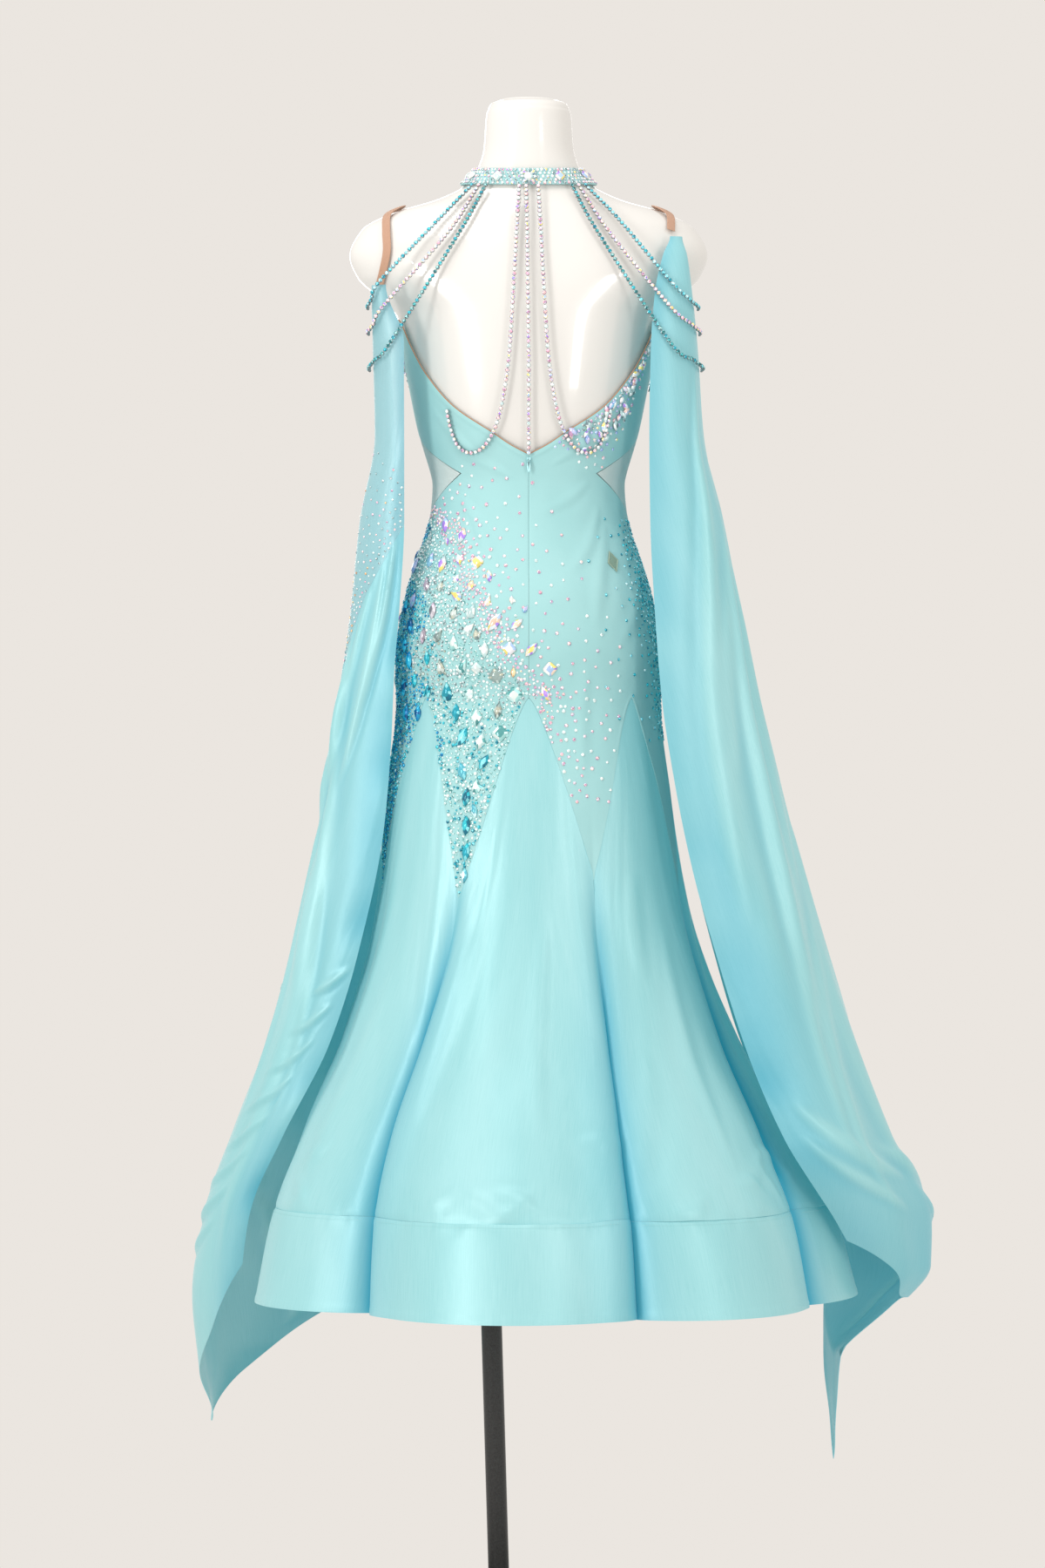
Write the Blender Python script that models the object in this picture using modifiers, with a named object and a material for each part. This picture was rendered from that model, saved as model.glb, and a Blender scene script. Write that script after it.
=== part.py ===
"""Ballroom dance dress worn on a limbless dress form and stand.

Metres, +Z up.  The dress faces -Y, its wearer's left is +X, and z = 0 is the floor under the stand.
Around the body, an angle of 0 is the centre back, 90 the wearer's left side and 180 the centre front.
"""
import math
from collections import namedtuple

import bmesh
import bpy
from mathutils import Matrix, Vector

# ---- driving sizes -----------------------------------------------------------------------------
SEAM_GAP = 0.0003            # between neighbouring pieces at a seam
EASE = 0.0036                # from the form's skin to the inside of the cloth
EASE_BELOW = 0.0078          # the same below the waist, where the form is slimmer
WAIST = 1.400
CREPE = 0.0015               # wall of the stretch body
SATIN = 0.0012               # wall of the godets and floats
BAND_WALL = 0.0025           # satin over crinoline at the hem
FLUTES = 7
PITCH = 360.0 / FLUTES       # one godet's share of the round, in degrees
GODET_COLUMNS = 8
GODET_ROWS = 9
GODET_TIP = 1.127            # height of the godets' points
GODET_CURVE = 1.35           # how round the points' sides are
FLUTE_START = 1.02           # height where the skirt starts to fall in flutes
BAND_TOP = 0.508
HEM = 0.397
FLUTE_ROUNDNESS = 0.62
SIDE_SEAM = 90.0
INSET_TIP = 44.0             # angle that a side inset reaches round to
INSET_TOP = 1.455
INSET_MIDDLE = 1.403
INSET_BOTTOM = 1.345
MIDDLE_AT_TIP = 1.372        # where the row through the inset's tip meets the zip
INSET_CUTS = 4               # mesh rows along each side of an inset
FLOAT_COLUMNS = 12
FLOAT_ROWS = 18
CHAIN_RADIUS = 0.0024
CHAIN_GAP = 0.0022
STRAP_WIDTH = 0.0105
STRAP_WALL = 0.0014
STRAP_LIFT = 0.0036
COLLAR_WALL = 0.0024
COLLAR_HEIGHT = 0.021
COLLAR_DIP = 0.004           # how much lower the band sits at the nape
BUST_RISE = 0.022            # of the dress's cups
FORM_BUST_RISE = 0.017       # of the form inside them
BUST_X = 0.068
BUST_Z = 1.525
BUST_WIDTH = 0.048
BUST_HEIGHT = 0.052
POLE_RADIUS = 0.0128
POLE_FOOT_X = 0.036
POLE_TOP_X = 0.066
BASE_RADIUS = 0.210
FORM_BOTTOM = 1.075
FLANGE_DROP = 0.012
FLANGE_RADIUS = 0.034
POLE_END_GAP = 0.0008
BASE_SIDES = 40
FORM_SIDES = 28
FORM_STEP = 0.036
SHOULDER_TOP = 1.735
POINT_GAP = 0.0014           # height between the body's zigzag edge and the godets
SLANT_GAP = 0.0012           # the same at the left float's slanted seam
INSET_SHRINK = 0.975
LOWER_CUTS = 5               # mesh rows on the side seam below and above the inset
UPPER_CUTS = 2
FLOAT_CLEARANCE = 0.010
FLOAT_RIPPLE = 0.005
FLOAT_RIPPLES = 3
FLOAT_FULL_FROM = 1.25
FLOAT_FULL_SPAN = 0.60
COLLAR_SLIT = 1.0            # degrees each side of the nape where the choker opens
COLLAR_FOOT = 1.756
COLLAR_EASE = 0.0035
CLASP_RADIUS = 0.0105
CLASP_DEPTH = 0.004
CLASP_GAP = 0.0006
CHAIN_START = 1.747
ARM_CHAIN_OUT = 0.0068
ZIP_HEIGHT = 1.415
ZIP_GAP = 0.0004
SLIDER_SIZE = Vector((0.0050, 0.0026, 0.0090))
PULL_SIZE = Vector((0.0042, 0.0010, 0.0150))
PULL_GAP = 0.0008
PULL_HEAD = 0.0009           # how far the tab reaches above its hinge

# ---- tables ------------------------------------------------------------------------------------
Section = namedtuple("Section", "height half_width back front shift")
FORM_SECTIONS = [
    Section(FORM_BOTTOM, 0.1435, 0.0935, 0.0855, 0.0),
    Section(1.127, 0.1525, 0.1045, 0.0925, 0.0),
    Section(1.180, 0.1535, 0.1095, 0.0955, 0.0),
    Section(1.240, 0.1445, 0.1035, 0.0945, 0.0),
    Section(1.290, 0.1305, 0.0895, 0.0905, 0.0),
    Section(1.345, 0.1135, 0.0765, 0.0845, 0.0),
    Section(1.390, 0.1095, 0.0725, 0.0815, 0.0),
    Section(1.450, 0.1290, 0.0840, 0.0940, 0.0),
    Section(1.525, 0.1450, 0.0940, 0.1080, 0.0),
    Section(1.595, 0.1610, 0.0980, 0.1040, 0.0),
    Section(1.622, 0.1860, 0.0960, 0.0980, 0.0),
    Section(1.645, 0.2100, 0.0920, 0.0900, 0.0),
    Section(1.672, 0.2200, 0.0850, 0.0780, 0.0),
    Section(1.704, 0.2050, 0.0740, 0.0640, 0.0),
    Section(1.724, 0.1680, 0.0660, 0.0560, 0.0),
    Section(1.741, 0.1120, 0.0580, 0.0500, 0.0),
    Section(1.757, 0.0800, 0.0530, 0.0480, 0.0),
    Section(1.778, 0.0630, 0.0520, 0.0500, 0.0),
    Section(1.805, 0.0550, 0.0510, 0.0500, 0.0),
    Section(1.845, 0.0520, 0.0500, 0.0490, 0.0),
    Section(1.858, 0.0470, 0.0450, 0.0440, 0.0),
    Section(1.863, 0.0360, 0.0340, 0.0330, 0.0),
]
SKIRT_SECTIONS = [
    Section(HEM, 0.367, 0.365, 0.355, -0.027),
    Section(0.500, 0.341, 0.332, 0.322, -0.024),
    Section(0.600, 0.294, 0.272, 0.264, -0.018),
    Section(0.710, 0.237, 0.208, 0.202, -0.012),
    Section(0.870, 0.185, 0.148, 0.142, -0.004),
    Section(1.000, 0.167, 0.122, 0.112, 0.0),
]
# one row to each valley between flutes: its angle at the hem, how far it is pulled in there as a
# share of the radius, and the height that the body's point between the two godets comes down to
Valley = namedtuple("Valley", "angle depth point")
VALLEYS = [
    Valley(-18.0, 0.235, 0.905),
    Valley(43.0, 0.250, 0.874),
    Valley(92.0, 0.190, 0.890),
    Valley(143.0, 0.215, 0.880),
    Valley(194.0, 0.200, 0.885),
    Valley(245.0, 0.210, 0.895),
    Valley(295.0, 0.130, 0.890),
]
# top edge of the body, from the zip round the armhole to the centre front
Edge = namedtuple("Edge", "angle height")
BACK_TOP = [
    Edge(0, 1.424), Edge(10, 1.4355), Edge(20, 1.4505), Edge(41, 1.4825), Edge(56, 1.519),
    Edge(69, 1.562), Edge(76, 1.592), Edge(81, 1.572), Edge(90, 1.548),
]
FRONT_TOP = [
    Edge(90, 1.548), Edge(101, 1.558), Edge(114, 1.592), Edge(124, 1.618), Edge(138, 1.612),
    Edge(160, 1.592), Edge(180, 1.574),
]
# a float's level sections: x of its back edge, fold and front edge, and the y of each
Fold = namedtuple("Fold", "height back_x outer_x front_x back_y outer_y front_y")
LEFT_FLOAT = [
    Fold(1.628, 0.173, 0.190, 0.176, 0.088, 0.078, 0.068),
    Fold(1.558, 0.151, 0.189, 0.170, 0.094, 0.064, 0.034),
    Fold(1.451, 0.151, 0.187, 0.164, 0.082, 0.044, 0.004),
    Fold(1.344, 0.151, 0.206, 0.160, 0.076, 0.030, -0.015),
    Fold(1.237, 0.157, 0.218, 0.170, 0.074, 0.015, -0.035),
    Fold(1.163, 0.163, 0.228, 0.176, 0.072, 0.008, -0.050),
    Fold(1.077, 0.167, 0.240, 0.180, 0.068, 0.000, -0.070),
    Fold(0.970, 0.176, 0.256, 0.184, 0.064, -0.010, -0.095),
    Fold(0.809, 0.210, 0.290, 0.186, 0.052, -0.030, -0.160),
    Fold(0.702, 0.245, 0.322, 0.190, 0.038, -0.060, -0.210),
    Fold(0.595, 0.300, 0.362, 0.195, 0.015, -0.095, -0.270),
    Fold(0.488, 0.345, 0.402, 0.195, -0.020, -0.135, -0.340),
    Fold(0.381, 0.360, 0.418, 0.188, -0.055, -0.165, -0.385),
    Fold(0.300, 0.372, 0.412, 0.250, -0.095, -0.185, -0.360),
    Fold(0.212, 0.386, 0.404, 0.372, -0.160, -0.195, -0.230),
]
RIGHT_FLOAT = [
    Fold(1.689, 0.172, 0.186, 0.184, 0.066, 0.060, 0.053),
    Fold(1.665, 0.163, 0.192, 0.190, 0.078, 0.067, 0.058),
    Fold(1.620, 0.153, 0.198, 0.194, 0.090, 0.066, 0.046),
    Fold(1.558, 0.148, 0.204, 0.178, 0.096, 0.056, 0.020),
    Fold(1.451, 0.146, 0.212, 0.166, 0.092, 0.045, -0.008),
    Fold(1.344, 0.147, 0.236, 0.162, 0.095, 0.040, -0.020),
    Fold(1.237, 0.152, 0.254, 0.170, 0.105, 0.035, -0.032),
    Fold(1.130, 0.160, 0.270, 0.178, 0.118, 0.032, -0.042),
    Fold(1.023, 0.176, 0.297, 0.186, 0.124, 0.030, -0.052),
    Fold(0.916, 0.198, 0.326, 0.205, 0.128, 0.026, -0.062),
    Fold(0.809, 0.228, 0.357, 0.232, 0.134, 0.020, -0.075),
    Fold(0.702, 0.262, 0.392, 0.265, 0.142, 0.015, -0.090),
    Fold(0.595, 0.308, 0.438, 0.315, 0.142, 0.005, -0.110),
    Fold(0.488, 0.376, 0.494, 0.376, 0.085, -0.010, -0.130),
    Fold(0.430, 0.402, 0.494, 0.392, 0.045, -0.020, -0.138),
    Fold(0.375, 0.388, 0.456, 0.372, 0.020, -0.040, -0.140),
    Fold(0.290, 0.368, 0.388, 0.346, -0.020, -0.070, -0.130),
    Fold(0.176, 0.372, 0.382, 0.366, -0.092, -0.102, -0.112),
]
# height of a float's lower edge, and of the left float's slanted seam, from back edge to front edge
Drop = namedtuple("Drop", "across height")
LEFT_END = [Drop(0, 0.430), Drop(0.25, 0.330), Drop(0.5, 0.240), Drop(0.62, 0.214),
            Drop(0.78, 0.270), Drop(1, 0.360)]
LEFT_SEAM = [Drop(0, 1.339), Drop(0.25, 1.250), Drop(0.5, 1.160), Drop(0.75, 1.190), Drop(1, 1.230)]
RIGHT_END = [Drop(0, 0.470), Drop(0.35, 0.392), Drop(0.54, 0.385), Drop(0.68, 0.262),
             Drop(0.84, 0.196), Drop(1, 0.178)]
# strap over the shoulder, from the front of the body to the head of the float
STRAP_ROUTE = [Edge(126, 1.626), Edge(127, 1.660), Edge(124, 1.692), Edge(112, 1.716),
               Edge(90, 1.7285), Edge(68, 1.717), Edge(55, 1.697)]
LEFT_STRAP_TAIL = [Edge(51, 1.672), Edge(56, 1.648), Edge(66, 1.632)]
# chains on the back of the form: x towards the chain's own side, and height
Mark = namedtuple("Mark", "x height")
CENTRE_DRAPE = [Mark(0.003, 1.747), Mark(0.002, 1.70), Mark(0.001, 1.62), Mark(0, 1.54), Mark(0, 1.48),
                Mark(0, 1.4275)]
SIDE_DRAPE = [Mark(0.011, 1.747), Mark(0.014, 1.70), Mark(0.018, 1.62), Mark(0.023, 1.54),
              Mark(0.032, 1.480), Mark(0.042, 1.449), Mark(0.055, 1.432), Mark(0.070, 1.429),
              Mark(0.083, 1.440), Mark(0.091, 1.462), Mark(0.094, 1.4775)]
# arm chains: where each leaves the collar, a point on the back, and its height round the float
Swag = namedtuple("Swag", "collar_x back_x back_height arm_height")
ARM_CHAINS = [Swag(0.066, 0.108, 1.705, 1.601), Swag(0.058, 0.096, 1.690, 1.571),
              Swag(0.050, 0.082, 1.690, 1.528)]

Turned = namedtuple("Turned", "radius height")
BASE_PROFILE = [Turned(0.0, 0.030), Turned(0.021, 0.030), Turned(0.025, 0.026), Turned(0.027, 0.013),
                Turned(0.180, 0.009), Turned(0.206, 0.006), Turned(BASE_RADIUS, 0.003),
                Turned(BASE_RADIUS, 0.0), Turned(0.0, 0.0)]

# ---- colours and finishes ----------------------------------------------------------------------
Finish = namedtuple("Finish", "colour roughness metallic")
FINISHES = {
    "crepe": Finish((0.36, 0.74, 0.84), 0.75, 0.0),
    "mesh": Finish((0.55, 0.82, 0.88), 0.80, 0.0),
    "satin": Finish((0.33, 0.78, 0.88), 0.28, 0.0),
    "sheer": Finish((0.42, 0.76, 0.86), 0.45, 0.0),
    "elastic": Finish((0.80, 0.52, 0.38), 0.70, 0.0),
    "stones": Finish((0.55, 0.80, 0.86), 0.10, 0.3),
    "chain": Finish((0.20, 0.55, 0.60), 0.15, 0.5),
    "zip": Finish((0.40, 0.74, 0.82), 0.35, 0.4),
    "form": Finish((0.88, 0.87, 0.84), 0.15, 0.0),
    "steel": Finish((0.02, 0.02, 0.022), 0.35, 0.6),
}


def clear_scene():
    for thing in list(bpy.data.objects):
        bpy.data.objects.remove(thing)


def finish_material(name):
    found = bpy.data.materials.get(name)
    if found:
        return found
    finish = FINISHES[name]
    material = bpy.data.materials.new(name)
    material.use_nodes = True
    shader = material.node_tree.nodes["Principled BSDF"]
    shader.inputs["Base Color"].default_value = (*finish.colour, 1.0)
    shader.inputs["Roughness"].default_value = finish.roughness
    shader.inputs["Metallic"].default_value = finish.metallic
    return material


# ---- curves through the tables -----------------------------------------------------------------
def smooth(rows, at):
    """A row worked out at a place between the table's rows, on a curve with no overshoot."""
    key = [row[0] for row in rows]
    if key[0] > key[-1]:
        rows, key = rows[::-1], key[::-1]
    at = min(max(at, key[0]), key[-1])
    i = max(n for n in range(len(rows) - 1) if key[n] <= at)
    span = key[i + 1] - key[i]
    t = (at - key[i]) / span
    values = []
    for c in range(len(rows[0])):
        def slope(n):
            if n in (0, len(rows) - 1):
                return 0.0 if n else (rows[1][c] - rows[0][c]) / (key[1] - key[0])
            before = (rows[n][c] - rows[n - 1][c]) / (key[n] - key[n - 1])
            after = (rows[n + 1][c] - rows[n][c]) / (key[n + 1] - key[n])
            return 0.0 if before * after <= 0 else 2 * before * after / (before + after)
        a, b = rows[i][c], rows[i + 1][c]
        values.append(a * (2 * t**3 - 3 * t**2 + 1) + b * (3 * t**2 - 2 * t**3)
                      + span * (slope(i) * (t**3 - 2 * t**2 + t) + slope(i + 1) * (t**3 - t**2)))
    return type(rows[0])(*values)


def mix(a, b, t):
    return a + (b - a) * t


def ease(t):
    t = min(max(t, 0.0), 1.0)
    return t * t * (3 - 2 * t)


BODY_SECTIONS = SKIRT_SECTIONS + [row for row in FORM_SECTIONS if row.height > SKIRT_SECTIONS[-1].height + 0.1]


def around(section, angle, scale=1.0):
    """Point on a section at an angle from the centre back."""
    a = math.radians(angle)
    depth = section.back if math.cos(a) >= 0 else section.front
    return Vector((section.shift + section.half_width * scale * math.sin(a),
                   depth * scale * math.cos(a), section.height))


def with_bust(point, cups=BUST_RISE):
    if point.y >= 0:
        return point
    across = (abs(point.x) - BUST_X) / BUST_WIDTH
    up = (point.z - BUST_Z) / BUST_HEIGHT
    point.y -= cups * math.exp(-across**2 - up**2)
    return point


def form_point(angle, height):
    return with_bust(around(smooth(FORM_SECTIONS, height), angle), FORM_BUST_RISE)


def flute_angle(angle, height):
    """Angles spread evenly at the hip drift towards the valleys' own angles at the hem."""
    turns = (angle + PITCH / 2) / PITCH
    i = math.floor(turns)
    low, high = VALLEYS[i % FLUTES].angle, VALLEYS[(i + 1) % FLUTES].angle
    low += 360.0 * (i // FLUTES)
    high += 360.0 * ((i + 1) // FLUTES)
    drift = ease((FLUTE_START - height) / (FLUTE_START - BAND_TOP))
    return mix(angle, mix(low, high, turns - i), drift)


def flute_scale(angle, height):
    """How far the valleys are pulled in: 1 on the crest of a flute."""
    turns = (angle + PITCH / 2) / PITCH
    i = math.floor(turns)
    across = turns - i
    depth = mix(VALLEYS[i % FLUTES].depth, VALLEYS[(i + 1) % FLUTES].depth, across)
    start = min(max((FLUTE_START - height) / (FLUTE_START - HEM), 0.0), 1.0)
    return 1.0 - depth * start**1.2 * (1.0 - max(math.sin(math.pi * across), 0.0) ** FLUTE_ROUNDNESS)


def cloth_base(angle, height):
    point = around(smooth(BODY_SECTIONS, height), flute_angle(angle, height), flute_scale(angle, height))
    return with_bust(point)


def cloth_slack(height):
    """Room between the form's table and the inside of the cloth."""
    return mix(EASE_BELOW, EASE, ease((height - WAIST) / (INSET_TOP - WAIST)))


def cloth_point(angle, height, out, aside=0):
    """Point on the dress, moved out along its surface's direction; aside is 1 or -1 at a seam, where
    the panel stands back by half a gap."""
    step = 0.8
    rise = 0.004
    across = cloth_base(angle + step, height) - cloth_base(angle - step, height)
    up = cloth_base(angle, height + rise) - cloth_base(angle, height - rise)
    slack = cloth_slack(height)
    return (cloth_base(angle, height) + across.normalized() * (aside * SEAM_GAP * 0.6)
            - across.cross(up).normalized() * (slack + out))


def form_skin(angle, height, out):
    step = 1.0
    rise = 0.003
    across = form_point(angle + step, height) - form_point(angle - step, height)
    up = form_point(angle, height + rise) - form_point(angle, height - rise)
    return form_point(angle, height) + across.cross(up).normalized() * -out


def point_height(angle):
    """Height of the seam between the body and the godets."""
    turns = angle / PITCH
    nearest = round(turns)
    away = turns - nearest
    valley = VALLEYS[(nearest + (1 if away > 0 else 0)) % FLUTES]
    return GODET_TIP - (GODET_TIP - valley.point) * (abs(away) / 0.5) ** GODET_CURVE


# ---- builders ----------------------------------------------------------------------------------
def finish_object(name, mesh, material, collection):
    thing = bpy.data.objects.new(name, mesh)
    thing.data.materials.append(finish_material(material))
    collection.objects.link(thing)
    return thing


def closed_object(name, bm, material, collection):
    """The finished object of a closed mesh, with its faces pointing out."""
    bmesh.ops.recalc_face_normals(bm, faces=bm.faces[:])
    if bm.calc_volume(signed=True) < 0:
        bmesh.ops.reverse_faces(bm, faces=bm.faces[:])
    mesh = bpy.data.meshes.new(name)
    bm.to_mesh(mesh)
    bm.free()
    mesh.shade_smooth()
    mesh.set_sharp_from_angle(angle=math.radians(40))
    return finish_object(name, mesh, material, collection)


def wall(name, columns, rows, place, material, collection):
    """A sheet of columns x rows faces with a wall; place(across, up, outer) gives each point."""
    bm = bmesh.new()
    bmesh.ops.create_grid(bm, x_segments=columns, y_segments=rows, size=0.5)
    inner = list(bm.verts)
    grown = bmesh.ops.extrude_face_region(bm, geom=bm.faces[:], use_keep_orig=True)
    outer = {v for v in grown["geom"] if isinstance(v, bmesh.types.BMVert)}
    for vert in inner + list(outer):
        across = round((vert.co.x + 0.5) * columns)
        up = round((vert.co.y + 0.5) * rows)
        vert.co = place(across / columns, up / rows, vert in outer)
    return closed_object(name, bm, material, collection)


def loft(name, columns, rows, place, material, collection):
    """A closed solid: a sheet wrapped round into a tube, with flat ends."""
    bm = bmesh.new()
    bmesh.ops.create_grid(bm, x_segments=columns, y_segments=rows, size=0.5)
    for vert in bm.verts:
        vert.co = place(round((vert.co.x + 0.5) * columns) / columns, round((vert.co.y + 0.5) * rows))
    bmesh.ops.remove_doubles(bm, verts=bm.verts[:], dist=1e-5)
    bmesh.ops.holes_fill(bm, edges=[e for e in bm.edges if e.is_boundary], sides=0)
    return closed_object(name, bm, material, collection)


def tube(name, points, radius, material, collection, resolution=1):
    curve = bpy.data.curves.new(name, "CURVE")
    curve.dimensions = "3D"
    curve.bevel_depth = radius
    curve.bevel_resolution = resolution
    curve.use_fill_caps = True
    spline = curve.splines.new("POLY")
    spline.points.add(len(points) - 1)
    for target, point in zip(spline.points, points):
        target.co = (*point, 1.0)
    return finish_object(name, curve, material, collection)


def rounded_route(points, count):
    """Evenly read points of a smooth curve through the route's own points."""
    padded = [points[0] * 2 - points[1]] + list(points) + [points[-1] * 2 - points[-2]]
    fine = []
    for i in range(1, len(padded) - 2):
        a, b, c, d = padded[i - 1:i + 3]
        for n in range(16):
            t = n / 16
            fine.append(0.5 * ((2 * b) + (c - a) * t + (2 * a - 5 * b + 4 * c - d) * t * t
                               + (3 * b - a - 3 * c + d) * t**3))
    fine.append(points[-1].copy())
    lengths = [0.0]
    for a, b in zip(fine, fine[1:]):
        lengths.append(lengths[-1] + (b - a).length)
    out = []
    for n in range(count):
        want = lengths[-1] * n / (count - 1)
        i = min(max(k for k in range(len(fine)) if lengths[k] <= want + 1e-9), len(fine) - 2)
        t = (want - lengths[i]) / max(lengths[i + 1] - lengths[i], 1e-9)
        out.append(fine[i].lerp(fine[i + 1], t))
    return out


# ---- the body of the dress ---------------------------------------------------------------------
def top_height(angle):
    """Top edge of the body, the same on both sides."""
    away = abs((angle + 180.0) % 360.0 - 180.0)
    return smooth(BACK_TOP if away <= SIDE_SEAM else FRONT_TOP, away).height


def side_edge(side):
    """A back panel's side edge from the godets up: straight, round the inset's notch, straight."""
    low = point_height(side * SIDE_SEAM)
    rows = [Edge(SIDE_SEAM, mix(low, INSET_BOTTOM, n / LOWER_CUTS)) for n in range(LOWER_CUTS)]
    for n in range(INSET_CUTS):
        t = n / INSET_CUTS
        rows.append(Edge(mix(SIDE_SEAM, INSET_TIP, t), mix(INSET_BOTTOM, INSET_MIDDLE, t)))
    for n in range(INSET_CUTS):
        t = n / INSET_CUTS
        rows.append(Edge(mix(INSET_TIP, SIDE_SEAM, t), mix(INSET_MIDDLE, INSET_TOP, t)))
    top = top_height(SIDE_SEAM)
    rows += [Edge(SIDE_SEAM, mix(INSET_TOP, top, n / UPPER_CUTS)) for n in range(UPPER_CUTS + 1)]
    return [Edge(side * row.angle, row.height) for row in rows]


def middle_edge():
    """The centre-back edge, with one row for each row of the side edge."""
    low, high = point_height(0.0), top_height(0.0)
    tip_row, last_row = LOWER_CUTS + INSET_CUTS, LOWER_CUTS + 2 * INSET_CUTS + UPPER_CUTS
    heights = [mix(low, MIDDLE_AT_TIP, n / tip_row) for n in range(tip_row)]
    heights += [mix(MIDDLE_AT_TIP, high, n / (last_row - tip_row)) for n in range(last_row - tip_row + 1)]
    return [Edge(0.0, height) for height in heights]


def body_panel(name, angles, first, last, collection):
    """A panel between two edges, from the godets' seam up to the top edge.  Its rows run straight
    from edge to edge beside the inset, and bend to the zigzag seam below and the top edge above."""
    columns, rows = len(angles) - 1, len(first) - 1

    def place(across, up, outer):
        column, row = round(across * columns), round(up * rows)
        even = (angles[column] - angles[0]) / (angles[-1] - angles[0])

        def straight(n):
            return mix(first[n].height, last[n].height, even)

        angle = mix(first[row].angle, last[row].angle, even)
        to_seam = max(1.0 - row / LOWER_CUTS, 0.0) ** 2
        to_top = max(1.0 - (rows - row) / UPPER_CUTS, 0.0) ** 2
        height = (straight(row) + to_seam * (point_height(angle) + POINT_GAP - straight(0))
                  + to_top * (top_height(angle) - straight(rows)))
        return cloth_point(angle, height, CREPE if outer else 0.0, (column == 0) - (column == columns))

    return wall(name, columns, rows, place, "crepe", collection)


def column_angles(start, end):
    """Angles on the godets' own columns between two edges, so both sides of a seam match."""
    step = PITCH / GODET_COLUMNS
    low = math.floor(start / step) + 1
    high = math.ceil(end / step) - 1
    inside = [n * step for n in range(low, high + 1)]
    inside = [a for a in inside if a - start > step / 4 and end - a > step / 4]
    return [start] + inside + [end]


def make_body(collection):
    left, right = side_edge(1), side_edge(-1)
    body_panel("back_left", column_angles(0.0, SIDE_SEAM), middle_edge(), left, collection)
    body_panel("back_right", column_angles(-SIDE_SEAM, 0.0), right, middle_edge(), collection)
    front_left = [Edge(180.0 - row.angle, row.height) for row in left]
    front_right = [Edge(180.0 - row.angle, row.height) for row in right]
    body_panel("front", column_angles(SIDE_SEAM, 360.0 - SIDE_SEAM), front_left, front_right, collection)
    for name, side in (("inset_left", 1), ("inset_right", -1)):
        make_inset(name, side, collection)


def make_inset(name, side, collection):
    """A mesh diamond centred on the side seam, a little smaller than its notch."""
    reach = (SIDE_SEAM - INSET_TIP) * INSET_SHRINK
    up_reach = (INSET_TOP - INSET_MIDDLE) * INSET_SHRINK
    down_reach = (INSET_MIDDLE - INSET_BOTTOM) * INSET_SHRINK

    def place(across, up, outer):
        turn = (up - across) * reach
        rise = across + up - 1.0
        height = INSET_MIDDLE + rise * (up_reach if rise > 0 else down_reach)
        return cloth_point(side * (SIDE_SEAM + turn), height, CREPE if outer else 0.0)

    wall(name, INSET_CUTS, INSET_CUTS, place, "mesh", collection)


# ---- the skirt ---------------------------------------------------------------------------------
def make_skirt(collection):
    for n in range(FLUTES):
        centre = n * PITCH
        for name, high, low, rows, thick in (
                (f"godet_{n + 1}", None, BAND_TOP + SEAM_GAP, GODET_ROWS, SATIN),
                (f"hem_band_{n + 1}", BAND_TOP, HEM, 2, BAND_WALL)):
            def place(across, up, outer, centre=centre, high=high, low=low, thick=thick):
                angle = centre + (across - 0.5) * PITCH
                top = point_height(angle) if high is None else high
                aside = (across == 0) - (across == 1)
                return cloth_point(angle, mix(low, top, up), thick if outer else 0.0, aside)
            wall(name, GODET_COLUMNS, rows, place, "satin", collection)


# ---- the floats --------------------------------------------------------------------------------
def float_base(table, side, across, height):
    """A float's level section is an open loop: back edge, outer fold, front edge."""
    row = smooth(table, height)
    turn = math.pi * across
    if across <= 0.5:
        x = mix(row.back_x, row.outer_x, math.sin(turn))
        y = mix(row.outer_y, row.back_y, math.cos(turn))
    else:
        x = mix(row.front_x, row.outer_x, math.sin(turn))
        y = mix(row.outer_y, row.front_y, -math.cos(turn))
    fullness = ease((FLOAT_FULL_FROM - height) / FLOAT_FULL_SPAN)
    ripple = FLOAT_RIPPLE * fullness * math.sin(FLOAT_RIPPLES * turn * 2 + side) * math.sin(turn)
    return off_the_body(Vector((side * (x + ripple), y, height)))


def off_the_body(point):
    """The point, pushed out until it is clear of the dress and the form."""
    body = smooth(BODY_SECTIONS, point.z)
    depth = body.back if point.y >= 0 else body.front
    across = (point.x - body.shift) / (body.half_width + FLOAT_CLEARANCE)
    reach = math.hypot(across, point.y / (depth + FLOAT_CLEARANCE))
    if reach < 1.0:
        point.x = body.shift + (point.x - body.shift) / reach
        point.y /= reach
    return point


def float_point(table, side, across, height, out):
    step = 0.01
    rise = 0.004
    turn = float_base(table, side, across + step, height) - float_base(table, side, across - step, height)
    up = float_base(table, side, across, height + rise) - float_base(table, side, across, height - rise)
    return float_base(table, side, across, height) + turn.cross(up).normalized() * (-side * out)


def make_float(name, table, side, top, end, rows, material, collection):
    def place(across, up, outer):
        high = top if isinstance(top, float) else smooth(top, across).height
        low = smooth(end, across).height
        return float_point(table, side, across, mix(low, high, up), SATIN if outer else 0.0)
    wall(name, FLOAT_COLUMNS, rows, place, material, collection)


def make_floats(collection):
    seam_above = [Drop(row.across, row.height + SLANT_GAP) for row in LEFT_SEAM]
    make_float("sleeve_left", LEFT_FLOAT, 1, LEFT_FLOAT[0].height, seam_above, 8, "sheer", collection)
    make_float("float_left", LEFT_FLOAT, 1, LEFT_SEAM, LEFT_END, FLOAT_ROWS - 4, "satin", collection)
    make_float("float_right", RIGHT_FLOAT, -1, RIGHT_FLOAT[0].height, RIGHT_END, FLOAT_ROWS,
               "satin", collection)


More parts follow.
